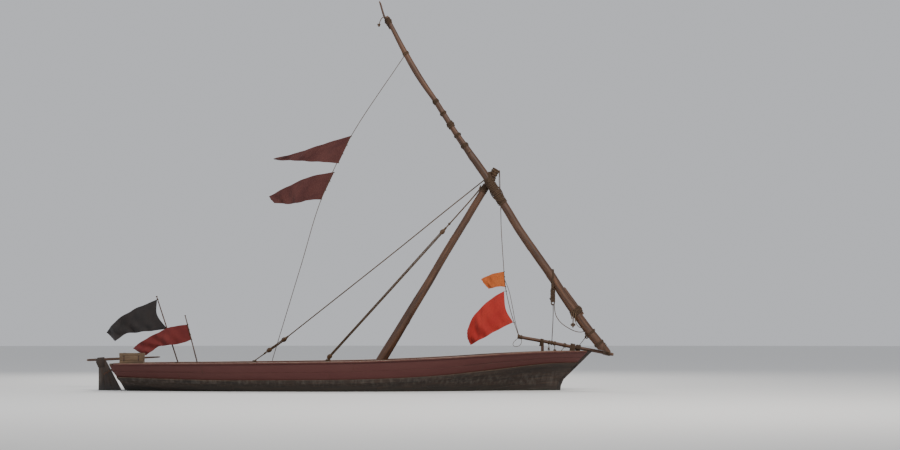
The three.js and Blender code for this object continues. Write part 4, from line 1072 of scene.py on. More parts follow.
def crossing_of(rows, side, centre, axis):
    """Where a spar's line passes the plane across an axis: its place in that plane and its radius."""
    axis = unit(np.array(axis, float))
    points = np.array(spar_line(rows, side))
    ahead = (points - np.array(centre)) @ axis
    i = int(np.argmin(np.abs(ahead[:-1] + ahead[1:])))
    share = float(np.clip(-ahead[i] / (ahead[i + 1] - ahead[i]), 0, 1))
    place = points[i] + (points[i + 1] - points[i]) * share - np.array(centre)
    radius = rows[i][2] + (rows[i + 1][2] - rows[i][2]) * share
    across = unit(ACROSS - axis * axis[1])
    return float(place @ across), float(place @ np.cross(axis, across)), radius, radius


def axis_at(rows, x):
    """The way a spar runs where it passes a place along the boat."""
    i = next(i for i, row in enumerate(rows) if i > 0 and row[0] < x)
    return unit(np.array([rows[i][0] - rows[i - 1][0], 0.0, rows[i][1] - rows[i - 1][1]]))


print("rope tools ready")

# %% Lash the spars
MAST_AXIS = unit(np.array([MAST_RAKE, 0.0, 1.0]))
YARD_AXIS = unit(np.array([3.640 - 2.742, 0.0, 4.037 - 5.389]))
SLING_Z = 4.780
SLING_ROPE = 0.018
MAST_HELD = 0.0785 + 0.0065  # the mast's radius at the sling and the gap the yard moves in
YARD_HELD = 0.0885


def at_mast(z):
    return np.array([mast_x(z), 0.0, z])


turns_of("masthead_turns", [(at_mast(4.52), MAST_AXIS, 0.0775, 0.009, 18, 3)], replaces=["masthead_lashing"])
sling = [(at_mast(SLING_Z), MAST_AXIS, MAST_HELD, SLING_ROPE, 5, 5),
         ((3.231, YARD_SIDE, 4.7), YARD_AXIS, YARD_HELD, SLING_ROPE, 6, 6)]
for sign, seed in ((1, 7), (-1, 8)):
    across_both = unit(MAST_AXIS - sign * YARD_AXIS)
    way = np.cross(across_both, ACROSS)
    held = [(offset, 0.0, radius, radius / math.sqrt(1 - float(way @ direction) ** 2))
            for offset, direction, radius in ((0.0, MAST_AXIS, MAST_HELD), (YARD_SIDE, YARD_AXIS, 0.09))]
    sling.append(((3.254, 0.0, 4.716), across_both, held, SLING_ROPE, 3, seed, {"each_turn": 40}))
turns_of("sling_turns", sling, body="yard", replaces=["sling"])

# Each: X, Z, the spars it holds, rope, turns. The ones at the middle, the peak and the heel take the place
# of a solid; the four along the lap and the long one below the sling are extra.
BOTH_SPARS = (LOWER_SPAR, UPPER_SPAR)
YARD_LASHINGS = {
    "middle": (2.375, 5.95, BOTH_SPARS, 0.015, 9),
    "below_sling": (3.404, 4.421, (LOWER_SPAR,), 0.022, 25),
    "lap_foot": (2.69, 5.485, BOTH_SPARS, 0.012, 7),
    "lap_low": (2.53, 5.715, BOTH_SPARS, 0.012, 5),
    "lap_high": (2.205, 6.205, BOTH_SPARS, 0.012, 5),
    "lap_head": (2.035, 6.47, BOTH_SPARS, 0.012, 7),
    "peak": (0.972, 8.296, (UPPER_SPAR, PEAK_POLE), 0.014, 10),
    "heel": (5.18, 1.76, (LOWER_SPAR, HEEL_FISH), 0.016, 9),
}
for k, (name, (x, z, spars, rope, turns)) in enumerate(YARD_LASHINGS.items()):
    direction = axis_at(spars[0], x)
    centre = (x, YARD_SIDE, z)
    held = [crossing_of(each, YARD_SIDE, centre, direction) for each in spars]
    over = [(a, b, p + rope * 0.9, q + rope * 0.9) for a, b, p, q in held]
    crossed = {"crossing": turns * rope * 0.36, "each_turn": 36}
    solid = f"yard_lashing_{name}"
    turns_of(f"yard_turns_{name}", [(centre, direction, held, rope, turns, 20 + k, {"each_turn": 36}),
                                    (centre, direction, over, rope * 0.9, 2, 30 + k, crossed)],
             body="yard", replaces=[solid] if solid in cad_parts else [])

# %% Lash the bowsprit and the heel of the yard
(SPRIT_X, SPRIT_Z, _), (TIP_X, TIP_Z, _) = BOWSPRIT
SPRIT_SLOPE = (TIP_Z - SPRIT_Z) / (TIP_X - SPRIT_X)
BOWSPRIT_AXIS = unit(np.array([1.0, 0.0, SPRIT_SLOPE]))
HEEL_X, HEEL_Z, HEEL_RADIUS = LOWER_SPAR[0]
HEEL_AXIS = unit(np.array([HEEL_X - 5.669, 0.0, HEEL_Z - 1.079]))


def at_bowsprit(x):
    return np.array([x, 0.0, SPRIT_Z + SPRIT_SLOPE * (x - SPRIT_X)])


stem_held = [(0, 0, 0.042, 0.042), (0, -0.075, 0.072, 0.045)]
turns_of("bowsprit_gammoning", [(at_bowsprit(5.236), BOWSPRIT_AXIS, 0.04, 0.017, 6, 51, {"layers": 2}),
                                (at_bowsprit(5.112), BOWSPRIT_AXIS, stem_held, 0.018, 5, 52, {"layers": 2})],
         replaces=["bowsprit_lashing"])
post_held = [(0, 0, 0.041, 0.041), (0, -0.09, 0.034, 0.02)]
turns_of("bowsprit_post_turns", [(at_bowsprit(4.435) - (0, 0, 0.01), (0, 0, 1), 0.034, 0.012, 4, 53),
                                 (at_bowsprit(4.42), BOWSPRIT_AXIS, post_held, 0.013, 5, 54)])
turns_of("tack_turns", [(at_bowsprit(5.905), BOWSPRIT_AXIS, 0.04, 0.015, 6, 55)], replaces=["tack_lashing"])
turns_of("heel_turns", [((5.69, YARD_SIDE, 1.05), HEEL_AXIS, 0.107, 0.014, 4, 56)], body="yard")

# The strop goes over the heel and under the bowsprit. Each loop holds the sawn section of the yard where it
# lies
heel_slope = (1.079 - HEEL_Z) / (HEEL_X - 5.669)
STROP_Z = 0.900
loops = []
for k, x in enumerate((5.795, 5.822, 5.849)):
    middle = HEEL_Z + (HEEL_X - x) * heel_slope
    tall = HEEL_RADIUS * math.hypot(1, heel_slope)
    sprit_z = float(at_bowsprit(x)[2])
    low, high = sprit_z + 0.055, middle + tall
    wide = [HEEL_RADIUS * math.sqrt(1 - ((z - middle) / tall) ** 2) for z in (low + 0.01, high - 0.045)]
    held = [(0.095, sprit_z - STROP_Z, 0.04, 0.04), (-0.1, low + 0.010 - STROP_Z, wide[0], 0.01),
            (-0.1, high - 0.045 - STROP_Z, wide[1] * 0.85, 0.045)]
    loops.append(((x, -0.095, STROP_Z), (1, 0, 0), held, 0.014, 1, 57 + k,
                  {"crossing": 0.01, "each_turn": 70}))
tack_strop = turns_of("tack_strop", loops, body=None)
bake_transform(tack_strop)

# %% [markdown]
# ## Stays and tackles
# The backstay and the halyard are looped over pegs in the masthead and come down to the port rail. Each
# ends in a tackle: two wooden blocks with rope between them. The halyard's lower block sits at the rail,
# and the backstay's hangs on a pendant halfway down. A block is a shell of two cheeks with a sheave in the
# slot, and a rope strop holds it. The shells here are swollen boards with a real slot and a sheave on its
# pin.

# %% Make blocks and stays
# The head is at a height on the mast and stands out to port. pendant is how far up to the upper block the
# lower one hangs, and seizing is how far up the stay a seizing lies.
BACKSTAY = {"mast": 4.922, "out": 0.175, "block": (-1.455, 1.03, 1.13), "rail": (-2.16, 1.24, 0.641),
            "radius": 0.014, "pendant": 0.5}
HALYARD = {"mast": 4.866, "out": 0.13, "block": (2.188, 0.3, 3.573), "rail": (-0.466, 1.301, 0.691),
           "radius": 0.016, "seizing": 0.14}
PEG = 0.017  # radius of the pegs in the masthead that the stays are looped over
BLOCK_HALF = 0.063
BLOCK_RADIUS = 0.044
CHEEK_INSIDE = 0.009
CHEEK_THICK = 0.017
FALL_RADIUS = 0.0105
PENDANT_RADIUS = 0.0125
TWINE = 0.009
SAG = np.array([0.0, 0.0, -0.012])


def block_shell(pile, centre, run, side, third, seed):
    """Two swollen cheeks and the end pieces between them."""
    for sign in (-1, 1):
        rings = []
        for t in np.linspace(-1, 1, 9):
            half = BLOCK_RADIUS * math.sqrt(max(1 - (abs(t) * 0.86) ** 2.4, 0.05))
            thick = CHEEK_THICK * (1 - 0.45 * t * t)
            ring = [(half * math.cos(a), sign * (CHEEK_INSIDE + thick * max(math.sin(a), 0.0)))
                    for a in np.linspace(0, math.pi, 9)]
            rings.append([centre + run * BLOCK_HALF * t + side * x + third * y for x, y in ring])
        grid = np.array(rings)
        back = grid - third * ((grid - centre) @ third)[..., None] + third * sign * CHEEK_INSIDE
        slab(pile, [grid, back], [0, 1, 2], 0.0, np.abs(np.linspace(-1, 1, 9))[:, None] * 0.8)
    for t in (-0.86, 0.86):
        ends = [centre + run * BLOCK_HALF * t + third * across for across in (-0.01, 0.01)]
        tube(pile, through(ends, 0.01), 0.015, seed=seed)


def sheave(pile, centre, third, seed):
    rim = [centre + third * across for across in (-0.0075, -0.003, 0.003, 0.0075)]
    tube(pile, rim, [0.03, 0.026, 0.026, 0.03], 20, seed=seed)
    tube(pile, [centre - third * 0.0285, centre + third * 0.0285], 0.006, 10, seed=seed + 1)


def strop(pile, centre, run, side, reach, seed, rope=0.012):
    """A rope ring round a block, drawn out to an eye at one end."""
    loop = []
    for a in np.linspace(0, math.tau, 33):
        far = BLOCK_HALF + 0.006 + (reach if math.cos(a) > 0 else 0) * abs(math.cos(a)) ** 3
        wide = (BLOCK_RADIUS + 0.006) * (1 - 0.55 * max(math.cos(a), 0) ** 2)
        loop.append(centre + run * far * math.cos(a) + side * wide * math.sin(a))
    tube(pile, through(loop, 0.01), rope / 2, seed=seed)


def stay(name, look, seed):
    """A stay from its peg in the masthead to its tackle, with the blocks, the fall and the strops."""
    radius, out = look["radius"], look["out"]
    head = at_mast(look["mast"])
    top = head + np.array([-radius, out, 0.0])
    upper, rail = np.array(look["block"]), np.array(look["rail"])
    run = unit(rail - upper)
    side = unit(np.array([1.0, 0.0, 0.0]) - run * run[0])
    third = np.cross(run, side)
    lower = rail + (upper - rail) * look["pendant"] if "pendant" in look else rail - run * 0.060
    pull = unit(top - upper)
    eye = upper + pull * (BLOCK_HALF + 0.03)
    ropes = Pile()
    straight = [top + (eye - top) * share for share in (0.001, 0.03, 0.09, 0.25)]
    laid_rope(ropes, [*straight, (top + eye) / 2 + SAG, eye], radius, seed, sides=12)
    lash(ropes, head + (0.0, out, 0.0), ACROSS, PEG, 1.7 * radius, 2, seed + 23)
    lash(ropes, eye - pull * 0.005, pull, radius, TWINE, 8, seed + 1)
    lash(ropes, head, MAST_AXIS, 0.077, radius, 3, seed + 2)
    if "seizing" in look:
        lash(ropes, upper + (top - upper) * look["seizing"], pull, radius, 0.012, 3, seed + 20)
    # The fall goes three times between the blocks, side by side
    for k, apart in enumerate((-0.022, 0.022, 0.0)):
        a = upper + side * apart + third * (0.004 if k == 2 else 0)
        b = lower + side * apart * 0.9
        laid_rope(ropes, [a, (a + b) / 2 + SAG * 0.3, b], FALL_RADIUS, seed + 3 + k)
    strop(ropes, upper, -run, side, 0.05, seed + 7)
    strop(ropes, lower, run, side, 0.03, seed + 8)
    if "pendant" in look:
        eye = lower + run * (BLOCK_HALF + 0.03)
        pendant = [eye - run * 0.012, (eye + rail) / 2 + SAG * 0.4, rail]
        laid_rope(ropes, pendant, PENDANT_RADIUS, seed + 21, sides=12)
        lash(ropes, eye + run * 0.03, run, PENDANT_RADIUS, TWINE, 6, seed + 22)
    shells, wheels = Pile(), Pile()
    peg = [head + (0.0, y, 0.0) for y in (0.05, out - 0.03, out + 0.026, out + 0.034)]
    tube(shells, peg, PEG * np.array([1.06, 1.0, 1.1, 0.8]), 14, seed=seed + 24)
    for k, centre in enumerate((upper, lower)):
        block_shell(shells, centre, run, side, third, seed + 9 + k)
        sheave(wheels, centre, third, seed + 11 + k)
    make(f"{name}_ropes", ropes, finish_stay, replaces=[name])
    make(f"{name}_blocks", shells, finish_block)
    make(f"{name}_sheaves", wheels, finish_block)


cleat = Pile()
abaft = -unit(np.cross(ACROSS, MAST_AXIS))
# The cleat's horn: height, how far it stands off the mast's middle, radius
horn = np.array([(4.415, 0.066, 0.01), (4.45, 0.08, 0.017), (4.482, 0.094, 0.02), (4.508, 0.106, 0.018),
                 (4.534, 0.114, 0.013), (4.552, 0.116, 0.007)])
tube(cleat, [at_mast(z) + abaft * away for z, away, _ in horn], horn[:, 2], 12, seed=190)
make("thumb_cleat", cleat, finish_block)
for name, look, seed in (("backstay", BACKSTAY, 200), ("halyard", HALYARD, 230)):
    stay(name, look, seed)

# %% Make fast at the rail


def share_at(x, z):
    """The share along the hull of a place at a height near the rail."""
    return x / (cutwater(z) - RABBET) if x >= 0 else -x / (post_aft(z) + POST_DEPTH)


rail_held = [(0.055, 0, 0.018, 0.022), (-0.055, 0, 0.018, 0.022)]
fastenings = []
for k, (look, rope) in enumerate([(BACKSTAY, 0.016), (HALYARD, 0.018)]):
    x, _, z = look["rail"]
    centre = sum(rail_edges(share_at(x, z))) / 2 + (0, 0, 0.021)
    fastenings.append((centre, (1, 0, 0), rail_held, rope, 5, 70 + k, {"each_turn": 40}))
turns_of("rail_fastenings", fastenings)

# %% [markdown]
# ## Signal lines
# Two thin lines carry flags: one from the yard's upper part down to the port rail, and one under the yard
# down to the bowsprit. The aft one has its head on the yard and its foot on the hull.

# %% Run the signal lines
LINE_RADIUS = 0.008
THIN_RADIUS = 0.0065
AFT_LINE = [(1.325, -0.262, 7.5), (0.128, 0.161, 5.757), (-0.576, 0.453, 4.316), (-1.06, 0.76, 2.8),
            (-1.747, 1.24, 0.615)]
FORE_LINE = [(3.516, 0, 3.597), (3.562, 0, 2.849), (3.608, 0, 2.309), (3.71, 0, 1.823), (3.793, 0, 1.54),
             (3.895, 0, 1.235)]
# From the masthead the fore line hangs clear of the yard, and a thin one follows it at the top and at the
# foot
FORE_HEAD = [(3.481, 0.0, 4.948), (3.492, 0.0, 4.5), (3.504, 0.0, 4.05)]
THIN_HEAD = [(3.472, 0.02, 4.946), (3.468, 0.024, 4.7), (3.484, 0.014, 4.4), (3.51, 0.004, 4.05)]
THIN_FOOT = [(3.59, 0.01, 2.48), (3.652, 0.02, 2.33), (3.7, 0.024, 2.18), (3.768, 0.024, 1.856),
             (3.83, 0.022, 1.519), (3.905, 0.014, 1.235)]


def on_route(points, z):
    """The point of a falling line at a height."""
    table = np.array(points)[::-1]
    return np.array([np.interp(z, table[:, 2], table[:, k]) for k in range(3)])


aft_line = Pile()
laid_rope(aft_line, [*AFT_LINE[:-1], np.array(AFT_LINE[-1]) + (0, 0, 0.03)], LINE_RADIUS, 300)
make_aft = make("signal_line_aft_rope", aft_line, finish_line, body=None, replaces=["signal_line_aft"])
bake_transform(make_aft)
head = (1.365, YARD_SIDE, 7.56)
upper_axis = axis_at(UPPER_SPAR, head[0])
held = [crossing_of(UPPER_SPAR, YARD_SIDE, head, upper_axis)]
turns_of("signal_line_aft_head", [(head, upper_axis, held, 0.012, 5, 303)], body="yard", finish=finish_line)
fore_line = Pile()
laid_rope(fore_line, [*FORE_HEAD, *FORE_LINE], LINE_RADIUS, 301)
laid_rope(fore_line, THIN_HEAD, THIN_RADIUS, 305)
laid_rope(fore_line, THIN_FOOT, THIN_RADIUS, 304)
lash(fore_line, at_mast(4.957), MAST_AXIS, 0.0775, 0.009, 3, 306)
lash(fore_line, at_bowsprit(3.905), BOWSPRIT_AXIS, 0.04, 0.011, 5, 302)
make("signal_line_fore_rope", fore_line, finish_line, replaces=["signal_line_fore"])

# %% [markdown]
# ## Spare rope and loose ends
# Spare rope is made up in a hank: even turns, drawn together near the top by a few turns of the same stuff.
# Loose rope has weight, so every slack stretch leaves its fastening straight, bends down and hangs in one
# curve. A free end is stopped with a knot, or it would fray. Each of these is a route of chosen points.

# %% Make knots and loose ropes


def stopper_knot(pile, place, rope, seed):
    """An overhand knot, drawn up at the end of a rope."""
    t = np.linspace(0, math.tau, 61)
    turn = math.tau * random.Random(seed).random()
    x, z, y = np.sin(t) + 2 * np.sin(2 * t), np.cos(t) - 2 * np.cos(2 * t), -1.3 * np.sin(3 * t)
    c, s = math.cos(turn), math.sin(turn)
    points = np.stack([x * c - y * s, x * s + y * c, z], -1) * rope * 0.56
    tube(pile, np.array(place) + points, rope * 0.46, seed=seed)


def loose_rope(name, radius, far_end, body, seed, points):
    """A free rope through chosen points, and the knot at its end."""
    pile = Pile()
    laid_rope(pile, points, radius, seed)
    piece = make(name, pile, finish_line, body=body)
    if far_end == "knot":
        knot = Pile()
        stopper_knot(knot, points[-1], 2 * radius, seed)
        make(name + "_knot", knot, finish_line, body=body)


print("knots and loose ropes ready")

# %% Hang the spare rope under the yard
HANK = {
    "x": 4.662, "y": YARD_SIDE, "top": 2.3, "turns": 8, "rope": 0.02, "fold": 0.034, "run": 0.312,
    "drawn_in": 0.003, "drawn_at": 2.112,
}
HANK_EACH = 24  # points in a turn


def hank_route():
    """Even turns up and down, drawn in where the tie goes, with the first run led up to the yard."""
    fold, run, rope = HANK["fold"], HANK["run"], HANK["rope"]
    middle = HANK["top"] - rope / 2 - fold - run / 2
    pitch = rope * 1.06
    start = HANK["y"] - HANK["turns"] * pitch / 2
    points = [[HANK["x"] - fold, start, z] for z in (2.435, 2.33, 2.24)]
    for i in range(HANK_EACH // 2 + 1, HANK["turns"] * HANK_EACH + HANK_EACH // 2):
        turn = i / HANK_EACH
        up, out = math.sin(math.tau * turn), math.cos(math.tau * turn)
        reach = fold + (float(wobble(500 + int(turn), 0.3, 0.009, 1.0)) if up < 0 else 0.0)
        z = middle + math.copysign(run / 2, up) * (abs(up) > 1e-6) + reach * up
        points.append([HANK["x"] + fold * out, start + pitch * (turn - 0.5), z])
    x, y, z = points[-1]
    points += [[x, y, z - drop] for drop in (0.06, 0.12, 0.18, 0.225)]
    line = through(points, 0.012)
    draw = 1 - HANK["drawn_in"] / fold * np.exp(-((line[:, 2] - HANK["drawn_at"]) / 0.08) ** 2)
    line[:, 0] = HANK["x"] + (line[:, 0] - HANK["x"]) * draw
    return line


hank_line = hank_route()
hank_pile = Pile()
tube(hank_pile, hank_line, HANK["rope"] / 2, 9, lobes=3, pitch=HANK["rope"] * ROPE_TWIST, seed=510)
hank = make("spare_rope_hank", hank_pile, finish_lashing, body="yard", replaces=["hanging_bundle"])
tie_half = HANK["turns"] * HANK["rope"] * 0.53
STROP_AT = 2.520
fold_at = HANK["top"] - HANK["rope"] - 0.012 - STROP_AT
yard_and_fold = [(0, 0, 0.1, 0.178), (0, fold_at, tie_half + 0.004, 0.01)]
turns_of("spare_rope_strop", [((HANK["x"], HANK["y"], STROP_AT), (1, 0, 0), yard_and_fold, 0.014, 3, 512,
                               {"each_turn": 44})], body="yard")
hank_ties = Pile()
drawn = [(0, 0, tie_half + 0.006, HANK["fold"] - HANK["drawn_in"] + 0.008)]
lash(hank_ties, (HANK["x"], HANK["y"], HANK["drawn_at"]), (0, 0, 1), drawn, 0.017, 16, 511)
stopper_knot(hank_ties, hank_line[-1], HANK["rope"], 513)
hank_tied = make("spare_rope_ties", hank_ties, finish_lashing, body="yard")

# %% Lead the loose ropes at the bow
# Each: radius, its far end, the body it rides on, seed, and the points it is led through from its fastening
LOOSE_ROPES = {
    "slack_rope_long": (0.009, "object", "yard", 520, [
        (4.693, -0.205, 1.96), (4.695, -0.204, 1.88), (4.704, -0.202, 1.78), (4.736, -0.2, 1.66),
        (4.806, -0.198, 1.55), (4.893, -0.198, 1.466), (4.993, -0.198, 1.4), (5.089, -0.198, 1.348),
        (5.185, -0.197, 1.312), (5.275, -0.196, 1.3), (5.35, -0.195, 1.313)]),
    "slack_rope_short": (0.008, "object", "yard", 521, [
        (5.15, -0.285, 1.64), (5.158, -0.29, 1.56), (5.184, -0.29, 1.48), (5.228, -0.288, 1.424),
        (5.284, -0.284, 1.398), (5.345, -0.277, 1.404)]),
    "heel_lashing_tail": (0.014, "knot", "yard", 522, [
        (5.128, -0.31, 1.77), (5.118, -0.32, 1.715), (5.111, -0.321, 1.64), (5.106, -0.32, 1.56),
        (5.103, -0.32, 1.455)]),
    "heel_lashing_tail_second": (0.013, "bare", "yard", 527, [
        (5.095, -0.3, 1.79), (5.08, -0.316, 1.735), (5.076, -0.318, 1.67), (5.078, -0.317, 1.59)]),
    "heel_lashing_tail_third": (0.012, "bare", "yard", 528, [
        (5.165, -0.305, 1.74), (5.158, -0.318, 1.68), (5.155, -0.319, 1.61), (5.156, -0.318, 1.53)]),
    "peak_lashing_tail": (0.01, "knot", "yard", 523, [
        (0.9, -0.245, 8.385), (0.866, -0.25, 8.392), (0.83, -0.252, 8.372), (0.8, -0.252, 8.33),
        (0.775, -0.251, 8.27), (0.758, -0.25, 8.21)]),
    "bowsprit_loop": (0.006, "object", "hull", 524, [
        (3.89, -0.044, 1.165), (3.85, -0.056, 1.135), (3.8, -0.06, 1.088), (3.772, -0.06, 1.034),
        (3.79, -0.058, 0.992), (3.845, -0.056, 0.976), (3.91, -0.056, 0.994), (3.955, -0.056, 1.044),
        (3.966, -0.052, 1.1), (3.955, -0.044, 1.152)]),
    "bowsprit_tail_aft": (0.009, "knot", "hull", 525, [
        (4.583, -0.01, 1.04), (4.582, -0.014, 1.01), (4.58, -0.016, 0.975), (4.577, -0.016, 0.925)]),
    "bowsprit_tail_fore": (0.008, "knot", "hull", 526, [
        (4.709, -0.01, 1.018), (4.709, -0.014, 0.99), (4.71, -0.016, 0.955), (4.711, -0.016, 0.89)]),
}
for name, look in LOOSE_ROPES.items():
    loose_rope(name, *look)

# Turns on the bowsprit that the loose ropes come from, and the three short guys that are drawn tight
bow_turns = Pile()
for k, (x, turns,
        rope) in enumerate([(4.583, 3, 0.013), (4.645, 4, 0.012), (4.709, 3, 0.013), (4.935, 4, 0.013),
                                      (3.96, 3, 0.012)]):
    lash(bow_turns, at_bowsprit(x), BOWSPRIT_AXIS, 0.0385, rope, turns, 530 + k)
guy_route = [(4.94, -0.03, 0.98), (4.9, -0.032, 0.934), (4.856, -0.034, 0.884), (4.815, -0.034, 0.806)]
laid_rope(bow_turns, guy_route, 0.007, 537)
make("bowsprit_turns", bow_turns, finish_line)
guy_turns = Pile()
lash(guy_turns, (5.505, YARD_SIDE, 1.295), HEEL_AXIS, 0.104, 0.015, 3, 538)
stopper_knot(guy_turns, (5.415, YARD_SIDE + 0.01, 1.222), 0.034, 539)
make("heel_guy_turns", guy_turns, finish_lashing, body="yard")
GUYS = {
    "hank_downhaul": (0.009, [(4.668, -0.2, 1.905), (4.67, -0.165, 1.7), (4.663, -0.11, 1.45),
                              (4.646, -0.03, 1.09)]),
    "heel_guy": (0.008, [(5.415, -0.184, 1.215), (5.374, -0.14, 1.157), (5.307, -0.09, 1.067),
                         (5.246, -0.04, 0.985)]),
}
for name, (radius, points) in GUYS.items():
    guy = Pile()
    laid_rope(guy, points, radius, 540)
    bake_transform(make(name, guy, finish_lashing, body=None))

# %% [markdown]
# ## Decks, thwarts and the stern
# Decks are planks laid from side to side, each scribed to the hull and nailed down, with a narrow gap for the
# wood to swell. Thwarts are thick single planks; a grown knee at each end holds them to the side. Everything
# here is cut from the same hull lines as the planking, so it meets the sides wherever they flare.

# %% Plank the decks and the transom
DECK_EASE = 0.004
SCRIBED = 0.002
PLANK_GAP = 0.003
TRANSOM_THICK = 0.045
ALONG_PLANK = [1, 0, 2]  # a deck plank's fibres run from side to side
EDGE_WEAR = np.array([0.9, 0.2, 0.2, 0.9])
UP = (0, 0, 1)


def cross_plank(pile, at0, at1, low, top, seed):
    """A plank from side to side, scribed to the inside of the hull."""
    ease = DECK_EASE / HALF_LENGTH
    shares = np.linspace(-1, 1, 17)
    lift = random.Random(seed).uniform(-0.0012, 0.0012)
    sides = []
    for z, way in ((top, 1), (low, -1)):
        rows = []
        for i, at in enumerate((at0, at0 + ease, at1 - ease, at1)):
            half = breadth_at(at, z) - SCRIBED
            height = z + lift + wobble(seed, shares, 0.0012, 1.6) - way * DECK_EASE * 0.8 * (i in (0, 3))
            rows.append(np.stack([np.full(17, hull_x(at, z)), shares * half, height], -1))
        sides.append(rows)
    wear = np.array([1.0, 0.3, 0.3, 1.0])[:, None] * np.array([1, 0])[:, None, None]
    slab(pile, sides, ALONG_PLANK, (seed * 1.9, 0, 0), wear)


def nails_across(pile, at0, at1, top, spread):
    """Two nails at each place across a plank."""
    for at in (at0 + (at1 - at0) * 0.25, at0 + (at1 - at0) * 0.75):
        half = breadth_at(at, top)
        for share in spread:
            stud(pile, (hull_x(at, top), share * (half - 0.06), top + 0.001), UP, 0.0065, 0.0022)


# Each: where it starts and ends along the hull, the height of its top, thickness, planks
DECKS = {"foredeck": (0.735, 0.957, 0.8, 0.028, 7), "aft_deck": (-0.976, -0.64, 0.45, 0.03, 11)}
BEAM_WIDE = 0.06 / HALF_LENGTH
deck_nails = Pile()
for k, (name, (at0, at1, top, thick, count)) in enumerate(DECKS.items()):
    deck = Pile()
    edges = np.linspace(at0, at1, count + 1)
    for j, (aft, fore) in enumerate(zip(edges, edges[1:])):
        cross_plank(deck, aft, fore - PLANK_GAP / HALF_LENGTH, top - thick, top, 600 + 20 * k + j)
        nails_across(deck_nails, aft, fore, top, (-1, -0.45, 0.45, 1))
    # The beam under the deck's open edge
    aft, fore = (at0, at0 + BEAM_WIDE) if at0 > 0 else (at1 - BEAM_WIDE, at1)
    cross_plank(deck, aft, fore, top - thick - 0.075, top - thick - 0.001, 640 + k)
    make(name + "_planks", deck, finish_deck, replaces=[name])

stern = Pile()
edges = np.linspace(0.06, 0.995, 7)
for j, (low, high) in enumerate(zip(edges, edges[1:])):
    width = float(skin(-1, high, 0.0)[2] - skin(-1, low, 0.0)[2])
    ease = DECK_EASE / width * (high - low)
    shares = np.linspace(-1, 1, 13)
    sides = []
    for inwards in (0.001, TRANSOM_THICK):
        rows = []
        for i, up in enumerate((low, low + ease, high - ease, high)):
            edge = skin(-1, up, 0.0)
            x = edge[0] + inwards + (DECK_EASE * 0.8 if i in (0, 3) and inwards < 0.01 else 0)
            rows.append(np.stack([np.full(13, x), shares * (edge[1] - SCRIBED), np.full(13, edge[2])], -1))
        sides.append(rows)
    slab(stern, sides, [1, 2, 0], (660 + j * 1.9, 0, 0), EDGE_WEAR[:, None])
board(stern, (-5.1055, -0.862, 0.589), (-5.1055, 0.862, 0.589), 0.061, 0.0417, arris=0.007, step=0.1,
      seed=668)
make("transom_planks", stern, finish_hull, replaces=["transom"])

# %% Fit the thwarts, knees and stringers
THWARTS = {"thwart_aft": (-0.385, 0.335), "thwart_middle": (-0.055, 0.35), "thwart_fore": (0.385, 0.42),
           "thwart_bow": (0.605, 0.48)}
THWART_HALF = 0.125 / HALF_LENGTH
THWART_THICK = 0.042
KNEE_STEPS = 11
KNEE_HALF = 0.019


def knee(pile, at, low, seed):
    """A grown knee that stands on a thwart against the side."""
    high = float(along("rail_top", at)) - RAIL_THICKNESS - 0.004
    up = np.linspace(0, 1, KNEE_STEPS)
    heights = low + (high - low) * up
    outer = np.array([breadth_at(at, z) for z in heights]) - SCRIBED
    reach = 0.036 + 0.180 * (1 - up) ** 2.6 + wobble(seed, up, 0.003, 1.0)
    shares = (0, 0.08, 0.5, 0.92, 1)
    sides = np.array([[[(hull_x(at, z) + half * (0.8 if share in (0, 1) else 1), y - inward * share, z)
                        for share in shares] for z, y, inward in zip(heights, outer, reach)]
                      for half in (KNEE_HALF, -KNEE_HALF)])
    lay = sides[..., [2, 0, 1]] + (seed * 1.3, 0, 0)
    wear = np.broadcast_to((0.1, 0.2, 0.2, 0.3, 0.9), sides.shape[:3])
    for flip in (1, -1):
        pile.add(sides * (1, flip, 1), slab_faces(*sides.shape[1:3]), lay + (flip, 0, 0), wear)


thwart_knees = Pile()
for k, (name, (at, top)) in enumerate(THWARTS.items()):
    thwart = Pile()
    cross_plank(thwart, at - THWART_HALF, at + THWART_HALF, top - THWART_THICK, top, 700 + k)
    make(name + "_plank", thwart, finish_deck, replaces=[name])
    nails_across(deck_nails, at - THWART_HALF, at + THWART_HALF, top, (-1, 1))
    knee(thwart_knees, at, top + 0.001, 710 + k)
make("thwart_knees", thwart_knees, finish_inside)

# The thwarts rest on a stringer, and a second one runs under the rail. Each: ends, heights along it, width
STRINGERS = [(-0.62, 0.7, [0.245, 0.262, 0.31, 0.4], 0.09), (-0.6, 0.72, [0.5, 0.515, 0.56, 0.64], 0.075)]


def stringer_point(at, z, share, wide, inward):
    """A point of a stringer's section, with its two inner arrises eased."""
    height = z + share * wide / 2
    eased = 0.004 if abs(share) == 1 and inward > 0.01 else 0
    return hull_x(at, height), breadth_at(at, height, FRAME_DEPTH) - inward + eased, height


for side, mirror in SIDES:
    stringer = Pile()
    for k, (at0, at1, heights, wide) in enumerate(STRINGERS):
        ats = np.linspace(at0, at1, 34)
        middle = np.interp(ats, np.linspace(at0, at1, 4), heights)
        sides = [[[stringer_point(at, z, share, wide, inward) for share in (-1, -0.9, 0.9, 1)]
                  for at, z in zip(ats, middle)] for inward in (0.0005, 0.03)]
        slab(stringer, sides, [0, 2, 1], (720 + k, 0, 0), EDGE_WEAR)
    make(f"stringers_{side}", stringer, finish_inside, mirror=mirror)

